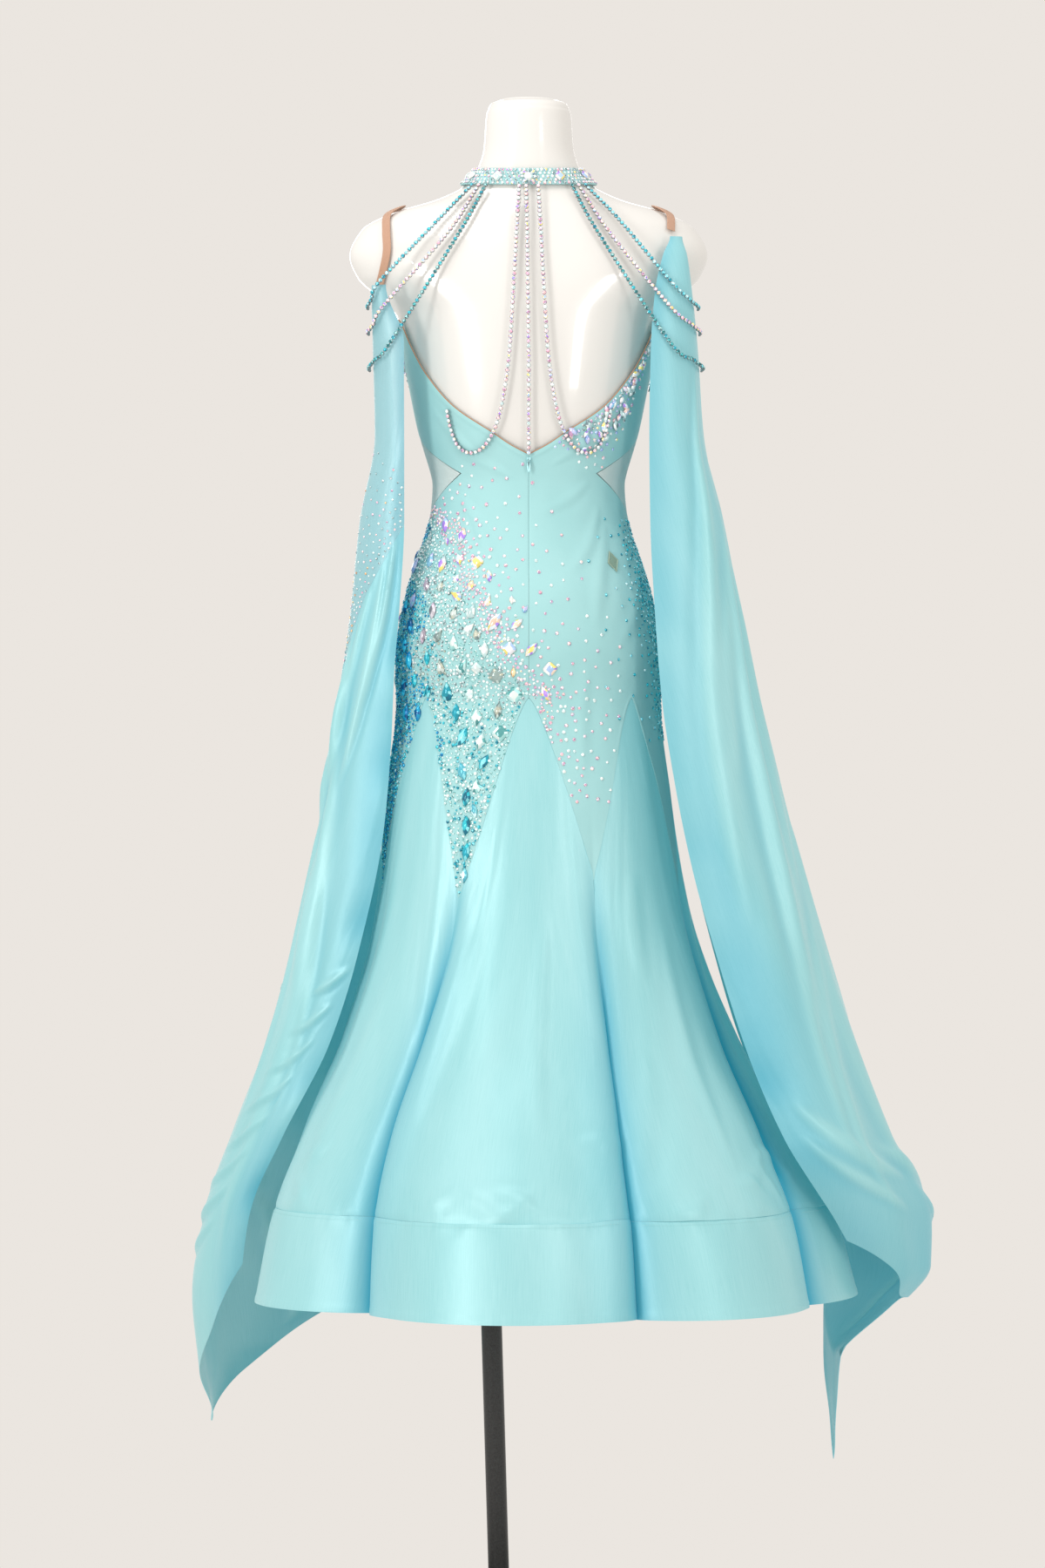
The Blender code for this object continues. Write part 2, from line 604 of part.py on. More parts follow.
# ---- straps, collar and chains -----------------------------------------------------------------
def make_strap(name, side, route, collection):
    marks = [form_skin(side * edge.angle, edge.height, STRAP_LIFT) for edge in route]
    count = 14
    line = rounded_route(marks, count + 1)
    outward = [strap_normal(point) for point in line]

    def place(across, up, outer):
        n = round(up * count)
        ahead = line[min(n + 1, count)] - line[max(n - 1, 0)]
        edge = ahead.cross(outward[n]).normalized()
        return line[n] + edge * (across - 0.5) * STRAP_WIDTH + outward[n] * (STRAP_WALL if outer else 0.0)

    wall(name, 2, count, place, "elastic", collection)


def strap_normal(point):
    """Direction straight out of the form's skin next to a point."""
    angle = math.degrees(math.atan2(point.x / smooth(FORM_SECTIONS, point.z).half_width,
                                    point.y / smooth(FORM_SECTIONS, point.z).back))
    height = min(point.z, SHOULDER_TOP)
    return (form_skin(angle, height, 1.0) - form_point(angle, height)).normalized()


def make_collar(collection):
    def place(across, up, outer):
        angle = mix(COLLAR_SLIT, 360.0 - COLLAR_SLIT, across)
        dip = COLLAR_DIP * math.cos(math.radians(angle))
        height = COLLAR_FOOT - dip + up * COLLAR_HEIGHT
        return form_skin(angle, height, COLLAR_EASE + (COLLAR_WALL if outer else 0.0))
    wall("collar", 28, 2, place, "stones", collection)
    mesh = bpy.data.meshes.new("collar_clasp")
    bm = bmesh.new()
    bmesh.ops.create_cone(bm, cap_ends=True, segments=8, radius1=CLASP_RADIUS, radius2=CLASP_RADIUS * 0.8,
                          depth=CLASP_DEPTH)
    bm.to_mesh(mesh)
    bm.free()
    clasp = finish_object("collar_clasp", mesh, "stones", collection)
    middle = COLLAR_FOOT - COLLAR_DIP + COLLAR_HEIGHT / 2
    face = form_skin(0.0, middle, COLLAR_EASE + COLLAR_WALL)
    out = (form_skin(0.0, middle, 1.0) - form_point(0.0, middle)).normalized()
    clasp.rotation_mode = "QUATERNION"
    clasp.rotation_quaternion = out.to_track_quat("Z", "Y")
    clasp.location = face + out * (CLASP_DEPTH / 2 + CLASP_GAP)


def on_the_back(side, mark):
    """A chain's point on the back of the form, found from its x and height, clear of the cloth."""
    half = smooth(FORM_SECTIONS, mark.height).half_width
    angle = math.degrees(math.asin(min(mark.x / half, 0.985)))
    lift = cloth_slack(mark.height) + CREPE + CHAIN_RADIUS + CHAIN_GAP
    return form_skin(side * angle, mark.height, lift)


def make_chains(collection):
    for name, side, marks, count in (("drape_centre", 1, CENTRE_DRAPE, 10),
                                     ("drape_left", 1, SIDE_DRAPE, 16),
                                     ("drape_right", -1, SIDE_DRAPE, 16)):
        points = [on_the_back(side, mark) for mark in marks]
        tube(name, rounded_route(points, count), CHAIN_RADIUS, "chain", collection)
    for label, side, table in (("left", 1, LEFT_FLOAT), ("right", -1, RIGHT_FLOAT)):
        for n, swag in enumerate(ARM_CHAINS):
            start = on_the_back(side, Mark(swag.collar_x, CHAIN_START))
            back = on_the_back(side, Mark(swag.back_x, swag.back_height))
            round_arm = [float_point(table, side, across, swag.arm_height + rise, ARM_CHAIN_OUT)
                         for across, rise in ((0.12, 0.030), (0.3, 0.010), (0.45, 0.002), (0.6, 0.0))]
            points = rounded_route([start, back] + round_arm, 13)
            tube(f"arm_chain_{label}_{n + 1}", points, CHAIN_RADIUS, "chain", collection)


# ---- zip ---------------------------------------------------------------------------------------
def box(name, centre, size, bevel, material, collection):
    mesh = bpy.data.meshes.new(name)
    bm = bmesh.new()
    bmesh.ops.create_cube(bm, size=1.0)
    bmesh.ops.scale(bm, vec=size, verts=bm.verts[:])
    bmesh.ops.bevel(bm, geom=bm.edges[:], offset=bevel, segments=1, affect="EDGES")
    bm.to_mesh(mesh)
    bm.free()
    thing = finish_object(name, mesh, material, collection)
    thing.location = centre
    return thing


def make_zip(collection):
    surface = max(cloth_point(0.0, ZIP_HEIGHT + rise, CREPE).y for rise in (-0.006, 0.0, 0.006))
    slider_y = surface + ZIP_GAP + SLIDER_SIZE.y / 2
    box("zip_slider", (0.0, slider_y, ZIP_HEIGHT), SLIDER_SIZE, 0.0006, "zip", collection)
    pin_y = slider_y + SLIDER_SIZE.y / 2 + PULL_GAP + PULL_SIZE.y / 2
    pull = box("zip_pull", (0.0, pin_y, ZIP_HEIGHT), PULL_SIZE, 0.0003, "zip", collection)
    pull.data.transform(Matrix.Translation((0.0, 0.0, -PULL_SIZE.z / 2 + PULL_HEAD)))


# ---- form and stand ----------------------------------------------------------------------------
def make_form(collection):
    heights = []
    for a, b in zip(FORM_SECTIONS, FORM_SECTIONS[1:]):
        cuts = max(1, round((b.height - a.height) / FORM_STEP))
        heights += [mix(a.height, b.height, n / cuts) for n in range(cuts)]
    heights.append(FORM_SECTIONS[-1].height)

    def place(across, row):
        return form_point(360.0 * across, heights[row])

    loft("form_torso", FORM_SIDES, len(heights) - 1, place, "form", collection)


def make_stand(collection):
    flange_top = FORM_BOTTOM - SEAM_GAP
    mesh = bpy.data.meshes.new("stand_flange")
    bm = bmesh.new()
    bmesh.ops.create_cone(bm, cap_ends=True, segments=24, radius1=FLANGE_RADIUS, radius2=FLANGE_RADIUS,
                          depth=FLANGE_DROP)
    bm.to_mesh(mesh)
    bm.free()
    flange = finish_object("stand_flange", mesh, "steel", collection)
    flange.location = (POLE_TOP_X, 0.0, flange_top - FLANGE_DROP / 2)
    top = Vector((POLE_TOP_X, 0.0, flange_top - FLANGE_DROP - POLE_END_GAP))
    foot = Vector((POLE_FOOT_X, 0.0, BASE_PROFILE[0].height + POLE_END_GAP))
    tube("stand_pole", [foot, top], POLE_RADIUS, "steel", collection, resolution=6)
    mesh = bpy.data.meshes.new("stand_base")
    points = [(turned.radius, 0.0, turned.height) for turned in BASE_PROFILE]
    mesh.from_pydata(points, [(n, n + 1) for n in range(len(points) - 1)], [])
    base = finish_object("stand_base", mesh, "steel", collection)
    base.location = (POLE_FOOT_X, 0.0, 0.0)
    screw = base.modifiers.new("turn", "SCREW")
    screw.steps = screw.render_steps = BASE_SIDES
    screw.use_merge_vertices = True
    screw.merge_threshold = 0.00005


def main():
    clear_scene()
    collection = bpy.data.collections.new("ballroom_dance_dress")
    bpy.context.scene.collection.children.link(collection)
    make_form(collection)
    make_stand(collection)
    make_body(collection)
    make_skirt(collection)
    make_floats(collection)
    make_strap("strap_left", 1, STRAP_ROUTE + LEFT_STRAP_TAIL, collection)
    make_strap("strap_right", -1, STRAP_ROUTE, collection)
    make_collar(collection)
    make_chains(collection)
    make_zip(collection)


main()
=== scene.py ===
"""Ballroom dance dress on a limbless dress form, in metres, +Z up, with the dress facing -Y.

The wearer's left is +X.  Round the body an angle of 0 is the centre back, 90 the wearer's left side
and 180 the centre front.  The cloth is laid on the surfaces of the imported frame's own solids.
"""
import math
from collections import namedtuple

import bmesh
import bpy
import numpy as np
from bpy.props import FloatProperty, FloatVectorProperty, IntProperty, PointerProperty
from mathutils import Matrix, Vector


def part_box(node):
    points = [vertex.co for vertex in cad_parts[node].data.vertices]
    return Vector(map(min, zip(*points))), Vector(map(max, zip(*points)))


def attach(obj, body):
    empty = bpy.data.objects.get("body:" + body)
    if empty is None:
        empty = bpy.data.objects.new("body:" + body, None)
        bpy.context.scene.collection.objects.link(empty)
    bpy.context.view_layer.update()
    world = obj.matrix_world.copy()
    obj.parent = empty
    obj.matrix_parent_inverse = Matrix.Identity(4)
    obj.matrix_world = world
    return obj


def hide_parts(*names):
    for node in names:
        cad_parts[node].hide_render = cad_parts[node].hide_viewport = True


bl_info = {
    "name": "Ballroom dance dress",
    "version": (1, 0, 0),
    "blender": (4, 5, 0),
    "location": "View3D > Sidebar > Dress",
    "description": "Cloth, stones, chains and finishes of a ballroom dance dress on its form",
    "category": "Add Mesh",
}

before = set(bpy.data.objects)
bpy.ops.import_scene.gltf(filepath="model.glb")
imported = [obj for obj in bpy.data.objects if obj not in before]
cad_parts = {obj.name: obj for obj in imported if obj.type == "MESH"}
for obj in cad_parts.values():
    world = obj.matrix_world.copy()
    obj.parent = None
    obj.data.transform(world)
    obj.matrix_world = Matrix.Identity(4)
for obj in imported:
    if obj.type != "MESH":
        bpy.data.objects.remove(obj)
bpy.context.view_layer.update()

# ---- sizes shared with the frame's solids ----
SEAM_GAP = 0.0003
EASE = 0.0036
EASE_BELOW = 0.0078
WAIST = 1.4
CREPE = 0.0015
SATIN = 0.0012
BAND_WALL = 0.0025
FLUTES = 7
PITCH = 360.0 / FLUTES
GODET_TIP = 1.127
GODET_CURVE = 1.35
FLUTE_START = 1.02
BAND_TOP = 0.508
HEM = 0.397
FLUTE_ROUNDNESS = 0.62
SIDE_SEAM = 90.0
INSET_TIP = 44.0
INSET_TOP = 1.455
INSET_MIDDLE = 1.403
INSET_BOTTOM = 1.345
MIDDLE_AT_TIP = 1.372
INSET_CUTS = 4
LOWER_CUTS = 5
UPPER_CUTS = 2
INSET_SHRINK = 0.975
CHAIN_RADIUS = 0.0024
CHAIN_GAP = 0.0022
STRAP_WIDTH = 0.0105
STRAP_WALL = 0.0014
STRAP_LIFT = 0.0036
COLLAR_WALL = 0.0024
COLLAR_HEIGHT = 0.021
COLLAR_DIP = 0.004
COLLAR_SLIT = 1.0
COLLAR_FOOT = 1.756
COLLAR_EASE = 0.0035
BUST_RISE = 0.022
FORM_BUST_RISE = 0.017
BUST_X = 0.068
BUST_Z = 1.525
BUST_WIDTH = 0.048
BUST_HEIGHT = 0.052
FLOAT_CLEARANCE = 0.01
FLOAT_RIPPLE = 0.005
FLOAT_RIPPLES = 3
FLOAT_FULL_FROM = 1.25
FLOAT_FULL_SPAN = 0.6
CHAIN_START = 1.747
ARM_CHAIN_OUT = 0.0068
ZIP_HEIGHT = 1.415


def metres(rows):
    return [tuple(length / 1000 for length in row) for row in rows]


# sections in millimetres: height, half width, back, front, shift
FORM_SECTIONS = metres([
    (1075, 143.5, 93.5, 85.5, 0), (1127, 152.5, 104.5, 92.5, 0), (1180, 153.5, 109.5, 95.5, 0),
    (1240, 144.5, 103.5, 94.5, 0), (1290, 130.5, 89.5, 90.5, 0), (1345, 113.5, 76.5, 84.5, 0),
    (1390, 109.5, 72.5, 81.5, 0), (1450, 129, 84, 94, 0), (1525, 145, 94, 108, 0), (1595, 161, 98, 104, 0),
    (1622, 186, 96, 98, 0), (1645, 210, 92, 90, 0), (1672, 220, 85, 78, 0), (1704, 205, 74, 64, 0),
    (1724, 168, 66, 56, 0), (1741, 112, 58, 50, 0), (1757, 80, 53, 48, 0), (1778, 63, 52, 50, 0),
    (1805, 55, 51, 50, 0), (1845, 52, 50, 49, 0), (1858, 47, 45, 44, 0), (1863, 36, 34, 33, 0),
])
SKIRT_SECTIONS = metres([
    (397, 367, 365, 355, -27), (500, 341, 332, 322, -24), (600, 294, 272, 264, -18),
    (710, 237, 208, 202, -12), (870, 185, 148, 142, -4), (1000, 167, 122, 112, 0),
])
# valleys between flutes: angle at the hem, depth, height of the body's point above
VALLEYS = np.array([
    (-18.0, 0.235, 0.905), (43.0, 0.25, 0.874), (92.0, 0.19, 0.89), (143.0, 0.215, 0.88),
    (194.0, 0.2, 0.885), (245.0, 0.21, 0.895), (295.0, 0.13, 0.89),
])
BACK_TOP = [(0, 1.424), (10, 1.4355), (20, 1.4505), (41, 1.4825), (56, 1.519), (69, 1.562), (76, 1.592),
            (81, 1.572), (90, 1.548)]
FRONT_TOP = [(90, 1.548), (101, 1.558), (114, 1.592), (124, 1.618), (138, 1.612), (160, 1.592),
             (180, 1.574)]
# floats in millimetres: height, back x, outer x, front x, back y, outer y, front y
LEFT_FLOAT = metres([
    (1628, 173, 190, 176, 88, 78, 68), (1558, 151, 189, 170, 94, 64, 34), (1451, 151, 187, 164, 82, 44, 4),
    (1344, 151, 206, 160, 76, 30, -15), (1237, 157, 218, 170, 74, 15, -35),
    (1163, 163, 228, 176, 72, 8, -50), (1077, 167, 240, 180, 68, 0, -70),
    (970, 176, 256, 184, 64, -10, -95), (809, 210, 290, 186, 52, -30, -160),
    (702, 245, 322, 190, 38, -60, -210), (595, 300, 362, 195, 15, -95, -270),
    (488, 345, 402, 195, -20, -135, -340), (381, 360, 418, 188, -55, -165, -385),
    (300, 372, 412, 250, -95, -185, -360), (212, 386, 404, 372, -160, -195, -230),
])
RIGHT_FLOAT = metres([
    (1689, 172, 186, 184, 66, 60, 53), (1665, 163, 192, 190, 78, 67, 58), (1620, 153, 198, 194, 90, 66, 46),
    (1558, 148, 204, 178, 96, 56, 20), (1451, 146, 212, 166, 92, 45, -8),
    (1344, 147, 236, 162, 95, 40, -20), (1237, 152, 254, 170, 105, 35, -32),
    (1130, 160, 270, 178, 118, 32, -42), (1023, 176, 297, 186, 124, 30, -52),
    (916, 198, 326, 205, 128, 26, -62), (809, 228, 357, 232, 134, 20, -75),
    (702, 262, 392, 265, 142, 15, -90), (595, 308, 438, 315, 142, 5, -110),
    (488, 376, 494, 376, 85, -10, -130), (430, 402, 494, 392, 45, -20, -138),
    (375, 388, 456, 372, 20, -40, -140), (290, 368, 388, 346, -20, -70, -130),
    (176, 372, 382, 366, -92, -102, -112),
])
LEFT_END = [(0, 0.43), (0.25, 0.33), (0.5, 0.24), (0.62, 0.214), (0.78, 0.27), (1, 0.36)]
LEFT_SEAM = [(0, 1.339), (0.25, 1.25), (0.5, 1.16), (0.75, 1.19), (1, 1.23)]
RIGHT_END = [(0, 0.47), (0.35, 0.392), (0.54, 0.385), (0.68, 0.262), (0.84, 0.196), (1, 0.178)]
STRAP_ROUTE = [(126, 1.626), (127, 1.66), (124, 1.692), (112, 1.716), (90, 1.7285), (68, 1.717),
               (55, 1.697)]
LEFT_STRAP_TAIL = [(51, 1.672), (56, 1.648), (66, 1.632)]
CENTRE_DRAPE = [(0.003, 1.747), (0.002, 1.7), (0.001, 1.62), (0, 1.54), (0, 1.48), (0, 1.4275)]
SIDE_DRAPE = [(0.011, 1.747), (0.014, 1.7), (0.018, 1.62), (0.023, 1.54), (0.032, 1.48), (0.042, 1.449),
              (0.055, 1.432), (0.07, 1.429), (0.083, 1.44), (0.091, 1.462), (0.094, 1.4775)]
# arm chains: x at the collar, x and height on the back, height round the arm
ARM_CHAINS = [(0.066, 0.108, 1.705, 1.601), (0.058, 0.096, 1.69, 1.571), (0.05, 0.082, 1.69, 1.528)]


# ---- curves and surfaces ----
class Curve:
    """A smooth curve with no overshoot through a table's rows, read at many places at once."""

    def __init__(self, rows):
        rows = np.array(sorted(rows), float)
        self.key, self.values = rows[:, 0], rows[:, 1:]
        steps = np.diff(self.values, axis=0) / np.diff(self.key)[:, None]
        before, after = steps[:-1], steps[1:]
        same_way = before * after > 0
        total = np.where(same_way, before + after, 1.0)
        inner = np.where(same_way, 2 * before * after / total, 0.0)
        self.slopes = np.vstack([steps[:1], inner, np.zeros_like(steps[:1])])

    def __call__(self, at):
        at = np.clip(np.asarray(at, float), self.key[0], self.key[-1])
        i = np.clip(np.searchsorted(self.key, at, side="right") - 1, 0, len(self.key) - 2)
        span = (self.key[i + 1] - self.key[i])[..., None]
        t = (at - self.key[i])[..., None] / span
        found = (self.values[i] * (2 * t**3 - 3 * t**2 + 1) + self.values[i + 1] * (3 * t**2 - 2 * t**3)
                 + span * (self.slopes[i] * (t**3 - 2 * t**2 + t) + self.slopes[i + 1] * (t**3 - t**2)))
        return np.moveaxis(found, -1, 0)


form_table = Curve(FORM_SECTIONS)
body_table = Curve(SKIRT_SECTIONS + [row for row in FORM_SECTIONS if row[0] > SKIRT_SECTIONS[-1][0] + 0.1])
back_top, front_top = Curve(BACK_TOP), Curve(FRONT_TOP)
left_float, right_float = Curve(LEFT_FLOAT), Curve(RIGHT_FLOAT)
left_end, left_seam, right_end = Curve(LEFT_END), Curve(LEFT_SEAM), Curve(RIGHT_END)


UP = np.array([0.0, 0.0, 1.0])


def mix(a, b, t):
    return a + (b - a) * t


def ease(t):
    t = np.clip(t, 0.0, 1.0)
    return t * t * (3 - 2 * t)


def unit(v):
    return v / np.maximum(np.linalg.norm(v, axis=-1, keepdims=True), 1e-12)


def stack(x, y, z):
    return np.stack(np.broadcast_arrays(x, y, z), axis=-1)


def as_grid(across, height):
    return np.broadcast_arrays(np.asarray(across, float), np.asarray(height, float))


def wrapped(angle):
    """The same angle from -180 to 180."""
    return (np.asarray(angle, float) + 180.0) % 360.0 - 180.0


def runs(surface, across, height, step, rise):
    """Which way a surface runs at a place: round it, and up it."""
    round_it = surface(across + step, height) - surface(across - step, height)
    return round_it, surface(across, height + rise) - surface(across, height - rise)


def around(table, angle, height, scale=1.0):
    half, back, front, shift = table(height)
    a = np.radians(angle)
    depth = np.where(np.cos(a) >= 0, back, front)
    return stack(shift + half * scale * np.sin(a), depth * scale * np.cos(a), height)


def with_bust(points, cups):
    across = (np.abs(points[..., 0]) - BUST_X) / BUST_WIDTH
    up = (points[..., 2] - BUST_Z) / BUST_HEIGHT
    rise = np.where(points[..., 1] < 0, cups * np.exp(-across**2 - up**2), 0.0)
    points[..., 1] -= rise
    return points


def form_point(angle, height):
    return with_bust(around(form_table, angle, height), FORM_BUST_RISE)


def flute_at(angle):
    """A place's flute, and how far across the flute it is."""
    turns = (angle + PITCH / 2) / PITCH
    i = np.floor(turns).astype(int)
    return i, turns - i


def flute_angle(angle, height):
    i, across = flute_at(angle)
    low = VALLEYS[i % FLUTES, 0] + 360.0 * (i // FLUTES)
    high = VALLEYS[(i + 1) % FLUTES, 0] + 360.0 * ((i + 1) // FLUTES)
    drift = ease((FLUTE_START - height) / (FLUTE_START - BAND_TOP))
    return mix(angle, mix(low, high, across), drift)


def flute_scale(angle, height):
    i, across = flute_at(angle)
    depth = mix(VALLEYS[i % FLUTES, 1], VALLEYS[(i + 1) % FLUTES, 1], across)
    start = np.clip((FLUTE_START - height) / (FLUTE_START - HEM), 0.0, 1.0)
    crest = np.maximum(np.sin(np.pi * across), 0.0) ** FLUTE_ROUNDNESS
    return 1.0 - depth * start**1.2 * (1.0 - crest)


def cloth_base(angle, height):
    angle, height = as_grid(angle, height)
    points = around(body_table, flute_angle(angle, height), height, flute_scale(angle, height))
    return with_bust(points, BUST_RISE)


def cloth_slack(height):
    return mix(EASE_BELOW, EASE, ease((height - WAIST) / (INSET_TOP - WAIST)))


def cloth_point(angle, height, out, aside=0):
    """Points on the dress, moved out along the surface's direction; aside is 1 or -1 at a seam."""
    angle, height = as_grid(angle, height)
    across, up = runs(cloth_base, angle, height, 0.8, 0.004)
    across = unit(across)
    away = -unit(np.cross(across, up))
    lift = np.asarray(cloth_slack(height) + out)[..., None]
    drawn = np.asarray(aside)[..., None] * SEAM_GAP * 0.6
    return cloth_base(angle, height) + across * drawn + away * lift


def form_skin(angle, height, out):
    angle, height = as_grid(angle, height)
    away = unit(np.cross(*runs(form_point, angle, height, 1.0, 0.003)))
    return form_point(angle, height) - away * np.asarray(out)[..., None]


def point_height(angle):
    turns = np.asarray(angle, float) / PITCH
    nearest = np.round(turns).astype(int)
    away = turns - nearest
    valley = VALLEYS[(nearest + (away > 0)) % FLUTES, 2]
    return GODET_TIP - (GODET_TIP - valley) * (np.abs(away) / 0.5) ** GODET_CURVE


def top_height(angle):
    away = np.abs(wrapped(angle))
    return np.where(away <= SIDE_SEAM, back_top(away)[0], front_top(away)[0])


def float_base(table, side, across, height):
    back_x, outer_x, front_x, back_y, outer_y, front_y = table(height)
    turn = np.pi * across
    first = across <= 0.5
    x = np.where(first, mix(back_x, outer_x, np.sin(turn)), mix(front_x, outer_x, np.sin(turn)))
    y = np.where(first, mix(outer_y, back_y, np.cos(turn)), mix(outer_y, front_y, -np.cos(turn)))
    fullness = ease((FLOAT_FULL_FROM - height) / FLOAT_FULL_SPAN)
    ripple = FLOAT_RIPPLE * fullness * np.sin(FLOAT_RIPPLES * turn * 2 + side) * np.sin(turn)
    x = side * (x + ripple)
    half, back, front, shift = body_table(height)
    depth = np.where(y >= 0, back, front) + FLOAT_CLEARANCE
    reach = np.minimum(np.hypot((x - shift) / (half + FLOAT_CLEARANCE), y / depth), 1.0)
    return stack(shift + (x - shift) / reach, y / reach, height)


def float_point(table, side, across, height, out):
    def surface(across, height):
        return float_base(table, side, across, height)

    across, height = as_grid(across, height)
    away = unit(np.cross(*runs(surface, across, height, 0.01, 0.004))) * -side
    return surface(across, height) + away * np.asarray(out)[..., None]


def rounded_route(points, count):
    """Evenly spaced points of a smooth curve through a route's own points."""
    points = np.asarray(points, float)
    padded = np.vstack([2 * points[0] - points[1], points, 2 * points[-1] - points[-2]])
    t = np.linspace(0, 1, 24, endpoint=False)[:, None]
    fine = []
    for a, b, c, d in zip(padded, padded[1:], padded[2:], padded[3:]):
        fine.append(0.5 * (2 * b + (c - a) * t + (2 * a - 5 * b + 4 * c - d) * t**2
                           + (3 * b - a - 3 * c + d) * t**3))
    fine = np.vstack(fine + [points[-1:]])
    lengths = np.concatenate([[0.0], np.cumsum(np.linalg.norm(np.diff(fine, axis=0), axis=1))])
    want = np.linspace(0, lengths[-1], count)
    return np.stack([np.interp(want, lengths, fine[:, n]) for n in range(3)], axis=-1)


# ---- creases ----
# one crease on a surface: where it starts and ends, its half width, its height, and how far it bows
Crease = namedtuple("Crease", "start end width height bow")


def crease_table(rows):
    """Creases from rows in millimetres: first s and z, last s and z, half width, height, bow."""
    return [Crease((a, b), (c, d), *rest) for a, b, c, d, *rest in metres(rows)]


def creased(s, z, creases):
    """Height of a set of creases at places on a surface, each fading out at its two ends."""
    rise = np.zeros(np.broadcast(s, z).shape)
    for crease in creases:
        (s0, z0), (s1, z1) = crease.start, crease.end
        ds, dz = s1 - s0, z1 - z0
        long = math.hypot(ds, dz)
        along = ((s - s0) * ds + (z - z0) * dz) / long**2
        fade = np.sin(np.pi * np.clip(along, 0.0, 1.0))
        aside = ((s - s0) * dz - (z - z0) * ds) / long - crease.bow * fade
        width = crease.width * (0.55 + 0.45 * fade)
        profile = np.exp(-(aside / width) ** 2) - 0.35 * np.exp(-((aside - 1.5 * width) / width) ** 2)
        rise += crease.height * fade**0.7 * profile
    return rise


def soft_noise(u, v, seed):
    """Smooth noise from -1 to 1 with features about one unit wide."""
    values = np.random.default_rng(seed).uniform(-1.0, 1.0, (64, 64))
    u, v = np.broadcast_arrays(u, v)
    i, j = np.floor(u).astype(int), np.floor(v).astype(int)
    a, b = ease(u - i), ease(v - j)
    low = mix(values[i % 64, j % 64], values[(i + 1) % 64, j % 64], a)
    high = mix(values[i % 64, (j + 1) % 64], values[(i + 1) % 64, (j + 1) % 64], a)
    return mix(low, high, b)


def fan(count, seed, centre, top, bottom, spread, width, height):
    """Uneven creases that fall and open out from a gathered top."""
    draw = np.random.default_rng(seed)
    creases = []
    for n in range(count):
        at = (n + 0.5 + draw.uniform(-0.3, 0.3)) / count - 0.5
        starts = top - draw.uniform(0.0, 0.35) * (top - bottom)
        ends = bottom + draw.uniform(0.0, 0.45) * (top - bottom)
        creases.append(Crease((centre + at * spread * 0.35, starts), (centre + at * spread, ends),
                              width * draw.uniform(0.6, 1.5), height * draw.uniform(0.45, 1.2),
                              draw.uniform(-0.012, 0.012)))
    return creases


def near(value, place, reach):
    return np.exp(-((value - place) / reach) ** 2)


# ---- meshes ----
def new_object(name, mesh, material):
    thing = bpy.data.objects.new(name, mesh)
    bpy.context.scene.collection.objects.link(thing)
    mesh.materials.append(material)
    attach(thing, "dress")
    return thing


def arc_lengths(points, axis):
    """Length along a grid's rows or columns, measured from its middle line."""
    steps = np.linalg.norm(np.diff(points, axis=axis), axis=-1)
    start = np.zeros_like(np.take(steps, [0], axis=axis))
    total = np.concatenate([start, np.cumsum(steps, axis=axis)], axis=axis)
    return total - np.take(total, [total.shape[axis] // 2], axis=axis)


def shell(name, inner, outer, flip, material, painted_fold_shade=None):
    """A thin closed sheet between two grids of points, with a UV map in metres and, where it is given,
    how much painted shade each point takes in the folds."""
    rows, columns = inner.shape[:2]
    count = rows * columns
    number = np.arange(count).reshape(rows, columns)
    left, right = number[:, :-1], number[:, 1:]
    quads = np.stack([left[:-1], right[:-1], right[1:], left[1:]], axis=-1).reshape(-1, 4)
    border = []
    for line, backwards in ((number[0], False), (number[-1], True)):
        a, b = line[:-1], line[1:]
        border.append(np.stack([b, a] if backwards else [a, b], axis=-1))
    border += [np.stack([number[1:, 0], number[:-1, 0]], axis=-1),
               np.stack([number[:-1, -1], number[1:, -1]], axis=-1)]
    border = np.vstack(border)
    rim = np.stack([border[:, 1], border[:, 0], border[:, 0] + count, border[:, 1] + count], axis=-1)
    faces = np.vstack([quads[:, ::-1], quads + count, rim])
    if flip:
        faces = faces[:, ::-1]
    mesh = bpy.data.meshes.new(name)
    mesh.from_pydata(np.vstack([inner.reshape(-1, 3), outer.reshape(-1, 3)]), [], faces.tolist())
    flat = np.stack([arc_lengths(outer, 1), arc_lengths(outer, 0)], axis=-1).reshape(-1, 2)
    flat = np.vstack([flat, flat])
    layer = mesh.uv_layers.new(name="cloth")
    layer.data.foreach_set("uv", flat[faces.ravel()].ravel())
    # painted shade: how much of the deep fold colour each point takes
    depth = np.zeros(count) if painted_fold_shade is None else np.broadcast_to(painted_fold_shade, (rows, columns)).ravel()
    layer = mesh.attributes.new("painted_fold_shade", "FLOAT", "POINT")
    layer.data.foreach_set("value", np.tile(depth, 2).astype(np.float32))
    mesh.shade_smooth()
    mesh.set_sharp_from_angle(angle=math.radians(48))
    return new_object(name, mesh, material)


